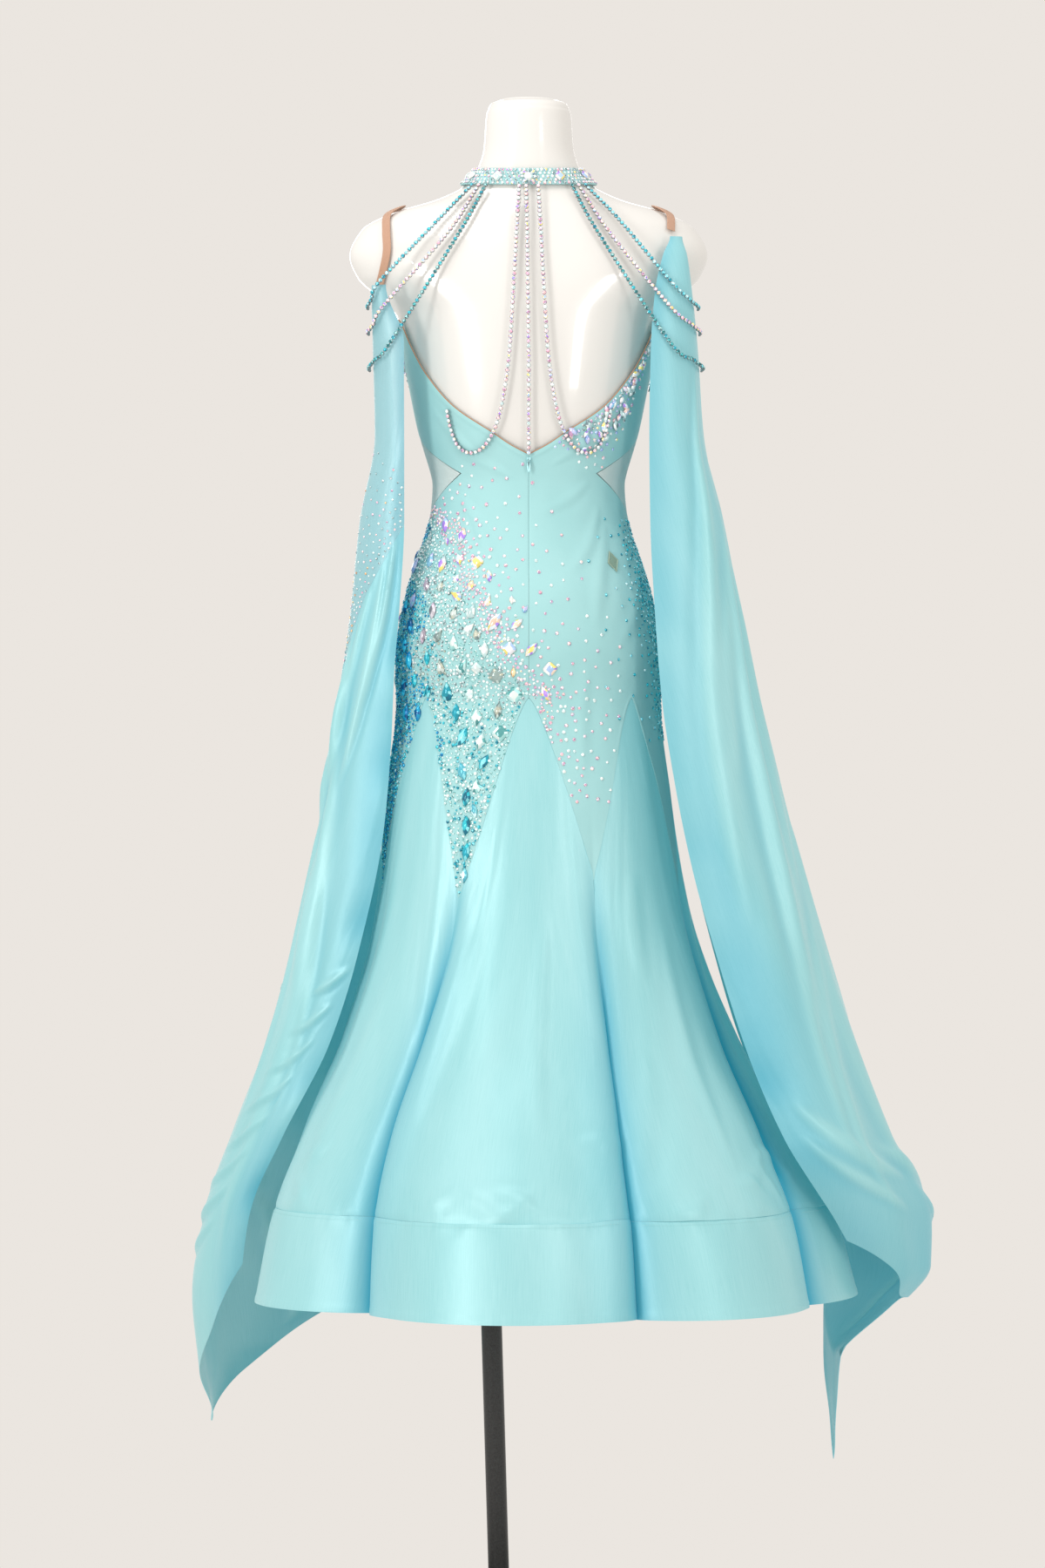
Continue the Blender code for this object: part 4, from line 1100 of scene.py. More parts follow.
def godet_rise(n, across, height):
    """Soft folds of one godet: from its point down to the band, none at its seams."""
    s = (across - 0.5) * mix(0.1, 0.34, ease((GODET_TIP - height) / (GODET_TIP - HEM)))
    draw = np.random.default_rng(40 + n)
    creases = []
    for k in range(4):
        at = (k + 0.5 + draw.uniform(-0.35, 0.35)) / 4 - 0.5
        start = draw.uniform(0.7, 0.98)
        end = start - draw.uniform(0.12, 0.34)
        creases.append(Crease((at * 0.15, start), (at * 0.3 + draw.uniform(-0.01, 0.01), end),
                              draw.uniform(0.01, 0.02), draw.uniform(0.0012, 0.0032),
                              draw.uniform(-0.01, 0.01)))
    for k in range(5):
        at = draw.uniform(-0.11, 0.11)
        high = draw.uniform(0.53, 0.6)
        creases.append(Crease((at, high), (at + draw.uniform(0.04, 0.09) * draw.choice([-1, 1]),
                                           high - draw.uniform(0.01, 0.05)),
                              draw.uniform(0.006, 0.011), draw.uniform(0.0014, 0.003), 0.006))
    rise = creased(s, height, creases)
    rise = rise + 0.0022 * soft_noise(s * 14.0 + 3 * n, height * 4.0, 60 + n) * ease((1.0 - height) / 0.2)
    rise = rise + 0.0009 * soft_noise(s * 26.0, height * 13.0, 80 + n) * ease((0.7 - height) / 0.15)
    rise = rise + seam_puckers(s, height, 30 + n) * near(height, BAND_TOP + 0.004, 0.02)
    to_seam = ease(to_edge(across) / 0.14)
    rise = rise * to_seam * ease((GODET_TIP + 0.004 - height) / 0.12)
    top = point_height((n * PITCH) + (across - 0.5) * PITCH)
    rise = rise * ease((top - height) / 0.04) + flute_lip(n, across, height)
    return rise - 0.0012 * near(height, BAND_TOP, 0.0022) * to_seam


def band_rise(n, across, height):
    s = (across - 0.5) * 0.34
    rise = seam_puckers(s, height, 30 + n) * near(height, BAND_TOP + 0.002, 0.014)
    rise = rise + 0.0012 * soft_noise(s * 11.0, height * 7.0 + n, 90 + n)
    diagonal = soft_noise((s + 0.8 * height) * 34.0, (s - height) * 7.0, 95 + n)
    rise = rise + 0.0006 * diagonal * ease(soft_noise(s * 7.0, height * 3.0, 97 + n))
    to_seam = ease(to_edge(across) / 0.14)
    rise = rise * to_seam - 0.0012 * near(height, BAND_TOP, 0.0022) * to_seam
    return rise + 0.0006 * near(height, HEM + 0.004, 0.003) + flute_lip(n, across, height)


class DRESS_OT_skirt(bpy.types.Operator):
    """Cut the seven godets and their stiffened hem bands"""

    bl_idname = "dress.skirt"
    bl_label = "Skirt"

    def execute(self, context):
        columns = 84
        even = np.linspace(0.0, 1.0, columns + 1)[None, :]
        across = even - 0.055 * np.sin(2 * np.pi * even)
        for n in range(FLUTES):
            angle = (n + across - 0.5) * PITCH
            for name, rows, wall, rise_of, flat in (
                    (f"godet_{n + 1}", 118, SATIN, godet_rise, (0.36, 0.64, 0.118)),
                    (f"hem_band_{n + 1}", 26, BAND_WALL - 0.0006, band_rise, (0.37, 0.113, 0.04))):
                is_band = rise_of is band_rise
                low = HEM if is_band else BAND_TOP + SEAM_GAP
                high = BAND_TOP if is_band else point_height(angle)
                up = np.linspace(0.0, 1.0, rows + 1)[:, None]
                height = np.broadcast_to(mix(low, high, up), (rows + 1, columns + 1))
                grid = np.broadcast_to(angle, height.shape)
                aside = flute_shift(n, across, height)
                aside[:, 0], aside[:, -1] = 1, -1
                rise = rise_of(n, across, height)
                inner = cloth_point(grid, height, rise, aside)
                outer = cloth_point(grid, height, wall + rise, aside)
                cloth = shell(name + "_satin", inner, outer, False,
                              finishes["band" if is_band else "satin"],
                              painted_fold_shade=flute_fold_shade(across, height))
                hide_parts(name)
        return {"FINISHED"}


# ---- the floats ----
FLOAT_SPREAD = 0.34          # metres of cloth across a float for its creases' places
LEFT_CREASES = (
    fan(11, 5, 0.0, 1.24, 0.42, 0.3, 0.011, 0.0048)
    + [Crease((-0.165 + 0.012 * k, 0.8 - 0.045 * k), (-0.105 + 0.016 * k, 0.768 - 0.05 * k), 0.0065,
              0.0038 - 0.0003 * (k % 3), 0.004) for k in range(8)]
    + [Crease((-0.02 + 0.018 * k, 0.78 - 0.055 * k), (0.035 + 0.012 * k, 0.742 - 0.06 * k), 0.007,
              0.004, -0.005) for k in range(8)]
    + crease_table([
        (-150, 1325, -110, 1120, 8, 5.5, 6), (-128, 1290, -70, 1020, 9, 5.2, 10),
        (-98, 1262, -30, 980, 10, 4.8, -10), (-60, 1220, 10, 920, 10, 5, 8),
    ]))
RIGHT_CREASES = (
    fan(12, 9, 0.0, 1.64, 0.55, 0.29, 0.0115, 0.005)
    + fan(5, 19, 0.02, 1.1, 0.42, 0.28, 0.014, 0.0048)
    + crease_table([
        (-145, 640, -45, 545, 12, 4.8, 12), (-150, 600, -70, 505, 10, 4.2, 10),
        (-60, 585, 35, 500, 11, 4.8, -10), (-20, 520, 70, 455, 10, 4.5, 8), (60, 480, 100, 330, 10, 4.5, 6),
    ]))


def float_rise(side, across, height):
    """Folds of a float's cloth, and the soft roll of its two long free edges."""
    s = (across - 0.5) * FLOAT_SPREAD
    rise = creased(s, height, LEFT_CREASES if side > 0 else RIGHT_CREASES)
    full = ease((1.6 - height) / 0.7)
    rise = rise + full * 0.004 * soft_noise(s * 14.0 + side * 9, height * 2.6, 12 + side)
    rise = rise + full * 0.001 * soft_noise(s * 30.0, height * 8.0, 16 + side)
    flutter = 0.0035 * soft_noise(height * 21.0, across * 0.0 + 2.5, 22 + side)
    flutter = flutter * near(to_edge(across), 0.0, 0.1)
    return rise + flutter * ease((1.45 - height) / 0.5)


def float_cloth(name, table, side, top, end, rows, material, thick, quiet=1.0):
    across = np.linspace(0.0, 1.0, 101)[None, :]
    high = np.full_like(across, top) if isinstance(top, float) else top(across)[0]
    low = end(across)[0]
    height = mix(low, high, np.linspace(0.0, 1.0, rows + 1)[:, None])
    grid = np.broadcast_to(across, height.shape)
    rise = float_rise(side, grid, height) * quiet
    inner = float_point(table, side, grid, height, rise)
    outer = float_point(table, side, grid, height, rise + thick)
    # painted shade: darker in the troughs of the creases and along the float's back edge
    painted_trough_shade = np.clip(0.3 - rise / 0.0075, 0.0, 1.0) * 0.55 + 0.25 * near(grid, 0.0, 0.1)
    cloth = shell(name + "_cloth", inner, outer, side < 0, material, painted_fold_shade=painted_trough_shade)
    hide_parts(name)
    return cloth


class DRESS_OT_floats(bpy.types.Operator):
    """Hang the sheer sleeve and the two satin floats"""

    bl_idname = "dress.floats"
    bl_label = "Sleeve and floats"

    def execute(self, context):
        def above(across):
            return left_seam(across) + 0.0004

        sleeve = float_cloth("sleeve_left", left_float, 1, LEFT_FLOAT[0][0], above, 110,
                             finishes["sheer"], 0.0007, quiet=0.55)
        left = float_cloth("float_left", left_float, 1, left_seam, left_end, 200, finishes["satin"],
                           0.0009)
        right = float_cloth("float_right", right_float, -1, RIGHT_FLOAT[0][0], right_end, 250,
                            finishes["satin"], 0.0009)
        return {"FINISHED"}


# ---- straps and binding ----
def skin_route(marks, side, lift):
    angle, height = np.array(marks, float).T
    return rounded_route(form_skin(side * angle, height, lift), 97)


class DRESS_OT_straps(bpy.types.Operator):
    """Lay the elastic shoulder straps and the binding of the neckline"""

    bl_idname = "dress.straps"
    bl_label = "Straps and binding"

    def execute(self, context):
        for name, side, marks in (("strap_left", 1, STRAP_ROUTE + LEFT_STRAP_TAIL),
                                  ("strap_right", -1, STRAP_ROUTE)):
            line = skin_route(marks, side, STRAP_LIFT)
            outward = unit(skin_route(marks, side, STRAP_LIFT + 0.004) - line)
            edge = unit(np.cross(np.gradient(line, axis=0), outward))
            across = np.linspace(-0.5, 0.5, 9)[None, :, None] * STRAP_WIDTH
            inner = line[:, None] + edge[:, None] * across
            dome = STRAP_WALL * (1 - 0.25 * np.abs(np.linspace(-1, 1, 9)) ** 4)
            outer = inner + outward[:, None] * dome[None, :, None]
            strap = shell(name + "_elastic", inner, outer, True, finishes["elastic"])
            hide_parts(name)
        angles = np.linspace(0.6, 359.4, 361)
        heights = top_height(angles) + 0.0006
        line = cloth_point(angles, heights, CREPE / 2 + body_rise(angles, heights))
        verts, faces = tube_mesh(line, 0.0008, 8)
        mesh_object("neck_binding", verts, faces, finishes["elastic"])
        return {"FINISHED"}


# ---- stones ----
# outlines half a unit to each side along their length
OUTLINES = {
    "dot": [(math.sin(k * math.pi / 3) / 2, math.cos(k * math.pi / 3) / 2) for k in range(6)],
    "round": [(math.sin(k * math.pi / 5) / 2, math.cos(k * math.pi / 5) / 2) for k in range(10)],
    "navette": [(0, 0.5), (0.13, 0.32), (0.225, 0.1), (0.225, -0.1), (0.13, -0.32), (0, -0.5),
                (-0.13, -0.32), (-0.225, -0.1), (-0.225, 0.1), (-0.13, 0.32)],
    "drop": [(0, 0.5), (0.12, 0.27), (0.25, 0.02), (0.31, -0.2), (0.2, -0.43), (0, -0.5),
             (-0.2, -0.43), (-0.31, -0.2), (-0.25, 0.02), (-0.12, 0.27)],
    "kite": [(0, 0.5), (0.27, 0.12), (0.22, -0.18), (0, -0.5), (-0.22, -0.18), (-0.27, 0.12)],
    "square": [(0.42, 0.3), (0.42, -0.3), (0.3, -0.42), (-0.3, -0.42), (-0.42, -0.3), (-0.42, 0.3),
               (-0.3, 0.42), (0.3, 0.42)],
    "lozenge": [(0, 0.5), (0.16, 0.27), (0.33, 0), (0.16, -0.27), (0, -0.5), (-0.16, -0.27),
                (-0.33, 0), (-0.16, 0.27)],
}
# partly the stones' own colours, the aurora borealis coating's among them; the lighter and darker entries,
# picked facet by facet, are painted glints and reflections
TINTS = {
    "ab": [(0.9, 0.9, 0.95), (0.98, 0.8, 0.22), (0.42, 0.25, 0.8), (0.8, 0.92, 0.98),
           (0.98, 0.72, 0.55), (0.45, 0.65, 0.98), (0.95, 0.95, 0.9)],
    "pink": [(0.82, 0.42, 0.55), (0.97, 0.84, 0.88), (0.5, 0.28, 0.46), (0.96, 0.66, 0.6),
             (0.7, 0.74, 0.88)],
    "mint": [(0.4, 0.76, 0.74), (0.85, 0.97, 0.95), (0.1, 0.36, 0.36), (0.62, 0.84, 0.84)],
    "silver": [(0.55, 0.66, 0.68), (0.92, 0.95, 0.95), (0.16, 0.24, 0.26), (0.42, 0.6, 0.62)],
    "clear": [(0.92, 0.98, 0.97), (0.75, 0.9, 0.9), (0.95, 0.97, 0.92), (0.55, 0.75, 0.76)],
    "grey": [(0.3, 0.4, 0.38), (0.6, 0.7, 0.66), (0.16, 0.22, 0.22), (0.52, 0.54, 0.44)],
    "mauve": [(0.3, 0.26, 0.32), (0.55, 0.44, 0.56), (0.2, 0.22, 0.26), (0.7, 0.66, 0.74)],
    "lilac": [(0.3, 0.42, 0.76), (0.52, 0.55, 0.86), (0.28, 0.58, 0.78), (0.7, 0.66, 0.92)],
    "teal": [(0.01, 0.34, 0.45), (0.03, 0.52, 0.62), (0.005, 0.16, 0.25), (0.25, 0.75, 0.82)],
    "aqua": [(0.25, 0.7, 0.78), (0.68, 0.92, 0.95), (0.1, 0.46, 0.58)],
    "blue": [(0.0, 0.2, 0.48), (0.01, 0.38, 0.66), (0.0, 0.1, 0.28), (0.04, 0.55, 0.84)],
    "deep": [(0.02, 0.22, 0.24), (0.06, 0.42, 0.44), (0.01, 0.12, 0.14), (0.38, 0.68, 0.68)],
    "amber": [(0.85, 0.45, 0.2), (0.98, 0.78, 0.46), (0.55, 0.24, 0.14)],
}


# painted shade: the girdle facets are darkened
GIRDLE_PAINTED_SHADE = 0.5           # the facets round a stone's edge are darker
SUNK = -0.0002               # how far the stones' backs sit in the cloth
INSET_ROOM = 1.0 + 0.004 / 0.055
EDGE_ROOM_LOW, EDGE_ROOM_HIGH = 0.0045, 0.006


class Stones:
    """Cut stones of one piece, all in one mesh with a colour on each facet."""

    def __init__(self, seed):
        self.draw = np.random.default_rng(seed)
        self.verts, self.loops, self.totals, self.tints = [], [], [], []
        self.start = 0

    def add(self, kind, places, outward, lengthwise, width, tint, height=0.3, table=0.5):
        """Adds stones of one kind; width is each stone's length, tint a name or a list of names."""
        places = np.atleast_2d(places)
        count = len(places)
        if not count:
            return
        outward = unit(np.atleast_2d(outward))
        lengthwise = square_to(np.atleast_2d(lengthwise), outward)
        sideways = np.cross(lengthwise, outward)
        width = np.broadcast_to(np.asarray(width, float), (count,))
        outline = np.array(OUTLINES[kind])
        n = len(outline)
        rings = [(1.0, 0.0), (1.0, height * 0.35), (table, height)]
        base = np.vstack([np.column_stack([outline * k, np.full(n, h)]) for k, h in rings])
        scaled = base[None] * width[:, None, None]
        points = (places[:, None] + scaled[..., :1] * sideways[:, None] + scaled[..., 1:2]
                  * lengthwise[:, None] + scaled[..., 2:] * outward[:, None])
        around_it = [(k, (k + 1) % n) for k in range(n)]
        faces = [list(range(n))[::-1]]
        for ring in range(2):
            low, high = ring * n, (ring + 1) * n
            faces += [[low + a, low + b, high + b, high + a] for a, b in around_it]
        faces.append(list(range(2 * n, 3 * n)))
        faces = [face[::-1] for face in faces]
        loops = np.concatenate(faces)
        totals = np.array([len(face) for face in faces])
        number = np.arange(count)[:, None] * (3 * n) + self.start
        self.verts.append(points.reshape(-1, 3))
        self.loops.append((loops[None] + number).ravel())
        self.totals.append(np.tile(totals, count))
        names = [tint] * count if isinstance(tint, str) else list(tint)
        facets = np.empty((count, len(faces), 3))
        # painted glints: each facet takes a random entry of its palette, made a little lighter or darker at
        # random
        for row, name in enumerate(names):
            palette = np.array(TINTS[name])
            chosen = palette[self.draw.integers(0, len(palette), len(faces))]
            facets[row] = chosen * self.draw.uniform(0.75, 1.1, (len(faces), 1))
        facets[:, 1:n + 1] *= GIRDLE_PAINTED_SHADE
        self.tints.append(np.repeat(np.clip(facets, 0, 1).reshape(-1, 3), self.totals[-1], axis=0))
        self.start += count * 3 * n

    def finish(self, name):
        verts, loops = np.vstack(self.verts), np.concatenate(self.loops)
        totals = np.concatenate(self.totals)
        mesh = bpy.data.meshes.new(name)
        mesh.vertices.add(len(verts))
        mesh.vertices.foreach_set("co", verts.ravel())
        mesh.loops.add(len(loops))
        mesh.loops.foreach_set("vertex_index", loops)
        mesh.polygons.add(len(totals))
        mesh.polygons.foreach_set("loop_start", np.concatenate([[0], np.cumsum(totals)[:-1]]))
        mesh.polygons.foreach_set("loop_total", totals)
        mesh.update(calc_edges=True)
        mesh.validate()
        layer = mesh.color_attributes.new(name="tint", type="FLOAT_COLOR", domain="CORNER")
        colour = np.hstack([np.vstack(self.tints), np.ones((len(loops), 1))])
        layer.data.foreach_set("color", colour.ravel())
        return new_object(name, mesh, finishes["stone"])


def set_small(seed, name, cut, places, outward, width, tints, height):
    """Sets one mesh of small stones, upright on the cloth."""
    stones = Stones(seed)
    stones.add(cut, places, outward, UP, width, tints, height)
    stones.finish(name)


def on_body(angle, height, out=SUNK):
    """Places on the body's cloth with the way out there."""
    angle, height = np.atleast_1d(angle), np.atleast_1d(height)
    lift = CREPE + body_rise(angle, height) + out
    place = cloth_point(angle, height, lift)
    return place, unit(cloth_point(angle, height, lift + 0.005) - place)


def candidates(draw, count, angles, heights):
    """Places on the body's cloth, drawn evenly between two angles and two heights."""
    angle, height = draw.uniform(*angles, count), draw.uniform(*heights, count)
    return angle, height, *on_body(angle, height)


def angle_at(x, height):
    """Angle of the body's surface at an x on the back."""
    row = body_table(height)
    slack = cloth_slack(height) + CREPE
    return np.degrees(np.arcsin(np.clip((x - row[3]) / (row[0] + slack), -0.999, 0.999)))


def square_to(upward, outward):
    """The unit direction nearest to one way that lies square to another."""
    return unit(upward - outward * np.sum(upward * outward, axis=-1, keepdims=True))


def turned(upward, outward, degrees):
    """Directions turned about the way out."""
    upward = square_to(upward, outward)
    side = np.cross(upward, outward)
    a = np.radians(np.atleast_1d(degrees))[:, None]
    return upward * np.cos(a) + side * np.sin(a)


def spread(places, spacing, taken=None, clear=None):
    """Numbers of the places kept, so that none is nearer to another than its spacing."""
    kept = np.empty((len(places), 3))
    chosen, count = [], 0
    for n, place in enumerate(places):
        if taken is not None and np.any(np.sum((taken - place) ** 2, axis=1) < clear**2):
            continue
        if count and np.sum((kept[:count] - place) ** 2, axis=1).min() < spacing[n] ** 2:
            continue
        kept[count] = place
        chosen.append(n)
        count += 1
    return np.array(chosen, int)


# stones placed one by one at the left hip, in millimetres: x, height, cut, length, turn, tint
LEFT_HIP = [
    (102, 1337, "kite", 16, -10, "ab"), (82, 1322, "kite", 16, 15, "ab"),
    (101, 1316, "navette", 10, -25, "ab"), (105, 1287, "kite", 17, 10, "ab"),
    (86, 1293, "kite", 13, -20, "ab"), (64, 1290, "square", 13, 45, "ab"),
    (89, 1270, "drop", 10, 30, "ab"), (71, 1260, "kite", 12, 20, "ab"), (89, 1249, "drop", 14, -60, "ab"),
    (49, 1272, "navette", 13, -10, "ab"), (50, 1243, "drop", 11, 20, "ab"),
    (42, 1217, "navette", 21, 35, "ab"), (15, 1215, "navette", 15, 50, "ab"),
    (24, 1186, "square", 13, 50, "ab"), (-3, 1185, "navette", 17, 40, "ab"),
    (19, 1159, "navette", 10, 5, "amber"), (21, 1244, "navette", 9, -5, "ab"),
    (4, 1233, "drop", 8, 30, "lilac"), (125, 1264, "drop", 14, -10, "mauve"),
    (120, 1294, "drop", 15, 10, "lilac"), (138, 1287, "navette", 17, 20, "lilac"),
    (107, 1261, "drop", 12, 20, "grey"), (117, 1232, "navette", 17, 0, "mauve"),
    (91, 1229, "drop", 13, 20, "grey"), (70, 1231, "drop", 15, 20, "clear"),
    (129, 1202, "navette", 16, 5, "mauve"), (111, 1202, "drop", 14, 40, "grey"),
    (92, 1194, "drop", 15, 0, "mint"), (73, 1210, "drop", 14, 45, "clear"),
    (64, 1204, "drop", 12, -10, "grey"), (54, 1185, "navette", 16, 0, "clear"),
    (108, 1166, "drop", 15, -5, "grey"), (81, 1167, "drop", 15, 30, "mint"),
    (64, 1164, "square", 11, 45, "clear"), (40, 1155, "square", 14, 30, "grey"),
    (72, 1135, "drop", 14, 20, "mint"), (18, 1131, "square", 15, 40, "mint"),
    (38, 1111, "navette", 16, 10, "grey"), (64, 1104, "lozenge", 18, 0, "mint"),
    (59, 1073, "lozenge", 17, 15, "mint"), (35, 1083, "square", 15, 40, "mint"),
    (100, 1136, "drop", 19, 0, "teal"), (123, 1136, "navette", 14, 0, "teal"),
    (139, 1150, "navette", 15, 10, "teal"), (124, 1176, "navette", 14, 0, "teal"),
    (89, 1109, "navette", 18, 0, "teal"), (81, 1079, "navette", 20, 25, "teal"),
    (81, 1037, "navette", 19, -20, "aqua"), (55, 1048, "navette", 17, 30, "teal"),
    (76, 1006, "navette", 18, 5, "teal"), (64, 1020, "drop", 15, 0, "mint"),
    (75, 972, "navette", 19, 0, "teal"), (66, 990, "navette", 14, -15, "aqua"),
    (73, 940, "navette", 18, 5, "teal"), (73, 912, "navette", 15, 0, "aqua"),
    (135, 1109, "navette", 16, 0, "blue"), (149, 1109, "navette", 18, 0, "blue"),
    (145, 1174, "navette", 18, 0, "blue"), (144, 1214, "navette", 16, -10, "blue"),
    (143, 1077, "navette", 17, 0, "blue"), (152, 1141, "navette", 17, 5, "blue"),
    (141, 1245, "navette", 15, 10, "lilac"), (150, 1047, "navette", 17, 0, "blue"),
    (149, 1238, "navette", 15, 5, "blue"), (150, 1192, "navette", 15, 0, "blue"),
    (150, 1012, "navette", 17, 0, "blue"), (146, 985, "navette", 16, 0, "teal"),
    (151, 965, "navette", 16, 0, "blue"), (147, 938, "navette", 15, 0, "teal"),
    (-26, 1163, "square", 13, 40, "ab"), (-20, 1133, "navette", 15, -25, "ab"),
]
# the same round the hidden side and front
LEFT_SIDE = [(96, 1300, "kite"), (100, 1262, "drop"), (98, 1225, "navette"), (102, 1188, "drop"),
             (97, 1150, "navette"), (104, 1112, "drop"), (99, 1075, "navette"), (112, 1282, "navette"),
             (116, 1242, "kite"), (114, 1205, "drop"), (118, 1166, "square"), (113, 1128, "navette"),
             (128, 1255, "navette"), (131, 1216, "kite"), (129, 1178, "drop"), (134, 1140, "square"),
             (145, 1232, "kite"), (147, 1190, "navette"), (150, 1152, "drop"), (160, 1208, "kite"),
             (163, 1168, "navette")]
# right edge of the cluster on the back: x at a height
HIP_BORDER = [(1.128, -0.036), (1.173, 0.0075), (1.248, 0.05), (1.3, 0.07), (1.344, 0.086),
              (1.362, 0.12)]


def hip_depth(x, height, front):
    """How far inside the cluster's slanted border a place is."""
    keys, edges = zip(*HIP_BORDER)
    edge = np.interp(height, keys, edges)
    return np.where(front, x - edge - 0.055, x - edge) * 0.8


def clear_of_edges(angle, height):
    low, high = point_height(angle) + EDGE_ROOM_LOW, top_height(angle) - EDGE_ROOM_HIGH
    return (height > low) & (height < high)


def in_inset(angle, height):
    away = np.abs(np.abs(wrapped(angle)) - SIDE_SEAM) / (SIDE_SEAM - INSET_TIP)
    reach = np.where(height > INSET_MIDDLE, INSET_TOP - INSET_MIDDLE, INSET_MIDDLE - INSET_BOTTOM)
    return away + np.abs(height - INSET_MIDDLE) / reach < INSET_ROOM


def hip_tint(draw, x, height, depth):
    chance = draw.uniform()
    if depth < 0.022:
        return "pink" if chance < 0.7 else ("clear" if chance < 0.9 else "ab")
    if x > 0.132 + 0.012 * math.sin(height * 60) or (height < 1.09 and x > 0.105):
        return "blue" if chance < 0.45 else ("teal" if chance < 0.85 else "aqua")
    if height < 1.12:
        return "mint" if chance < 0.62 else ("teal" if chance < 0.88 else "clear")
    if x > 0.1 and height < 1.2:
        return "silver" if chance < 0.5 else ("teal" if chance < 0.8 else "grey")
    return "mint" if chance < 0.45 else ("silver" if chance < 0.8 else "clear")


LARGE_SCALE = 1.28
CLEAR_OF_LARGE = 0.0046      # from a large stone's line to the small ones


class DRESS_OT_hip_stones(bpy.types.Operator):
    """Set the stones of the left hip, close together and thinning out over the back"""

    bl_idname = "dress.hip_stones"
    bl_label = "Left hip stones"

    def execute(self, context):
        small = sizes().small_stone
        draw = np.random.default_rng(77)
        large = Stones(78)
        taken = []
        rows = [(angle_at(x / 1000, h / 1000), h, *rest) for x, h, *rest in LEFT_HIP]
        for n, (away, h, cut) in enumerate(LEFT_SIDE):
            tints = ("blue", "teal", "ab", "lilac", "mint")
            rows.append((float(away), h, cut, 16, 20 * math.sin(3.7 * n), tints[n % 5]))
        for away, h, cut, size, turn, tint in rows:
            angle, height = np.atleast_1d(away), np.atleast_1d(h / 1000)
            if not clear_of_edges(angle, height)[0]:
                continue
            place, outward = on_body(angle, height)
            axis = turned(UP, outward, turn)
            large.add(cut, place, outward, axis, size * LARGE_SCALE / 1000, tint, 0.22, 0.55)
            reach = size / 1000 * 0.5
            for share in (-0.5, 0.0, 0.5) if cut in ("navette", "drop", "kite") else (0.0,):
                taken.append(place[0] + axis[0] * share * reach)
        large.finish("hip_stones_large")
        angle, height, places, outward = candidates(draw, 52000, (-16.0, 178.0), (0.885, 1.372))
        x, front = places[:, 0], angle > 90
        depth = hip_depth(x, height, front)
        inside = (depth > 0) & clear_of_edges(angle, height) & ~in_inset(angle, height)
        inside &= (x > 0.0) | (height < 1.2)
        tail = (height < 1.128) & (np.abs(angle) < PITCH / 2) & (depth < 0.006)
        inside &= ~tail
        use = np.flatnonzero(inside)
        spacing = small * (1.1 + 0.25 * np.exp(-depth[use] / 0.012))
        kept = use[spread(places[use], spacing, np.array(taken), CLEAR_OF_LARGE)]
        tints = [hip_tint(draw, x[n], height[n], depth[n]) for n in kept]
        width = small * draw.choice([0.9, 1.05, 1.15, 1.3, 1.5], len(kept))
        set_small(79, "hip_stones_small", "dot", places[kept], outward[kept], width, tints, 0.42)
        angle, height, places, outward = candidates(draw, 5200, (-62.0, 150.0), (1.00, 1.415))
        x, front = places[:, 0], angle > 90
        depth = hip_depth(x, height, front)
        outside = -depth
        use = (depth <= 0.002) & clear_of_edges(angle, height) & ~in_inset(angle, height)
        use &= (outside < 0.105) & (x > -0.115) & (np.abs(angle) > 1.6)
        use &= ~((height > 1.3) & (x < -0.06)) & ~((height < 1.1) & (x > 0.03))
        use = np.flatnonzero(use)
        spacing = 0.0052 + 0.17 * np.clip(outside[use], 0, 1) ** 1.02
        kept = use[spread(places[use], spacing)]
        set_small(80, "scattered_stones", "round", places[kept], outward[kept],
                  draw.uniform(0.0036, 0.005, len(kept)),
                  draw.choice(["pink", "pink", "clear"], len(kept)), 0.36)
        return {"FINISHED"}


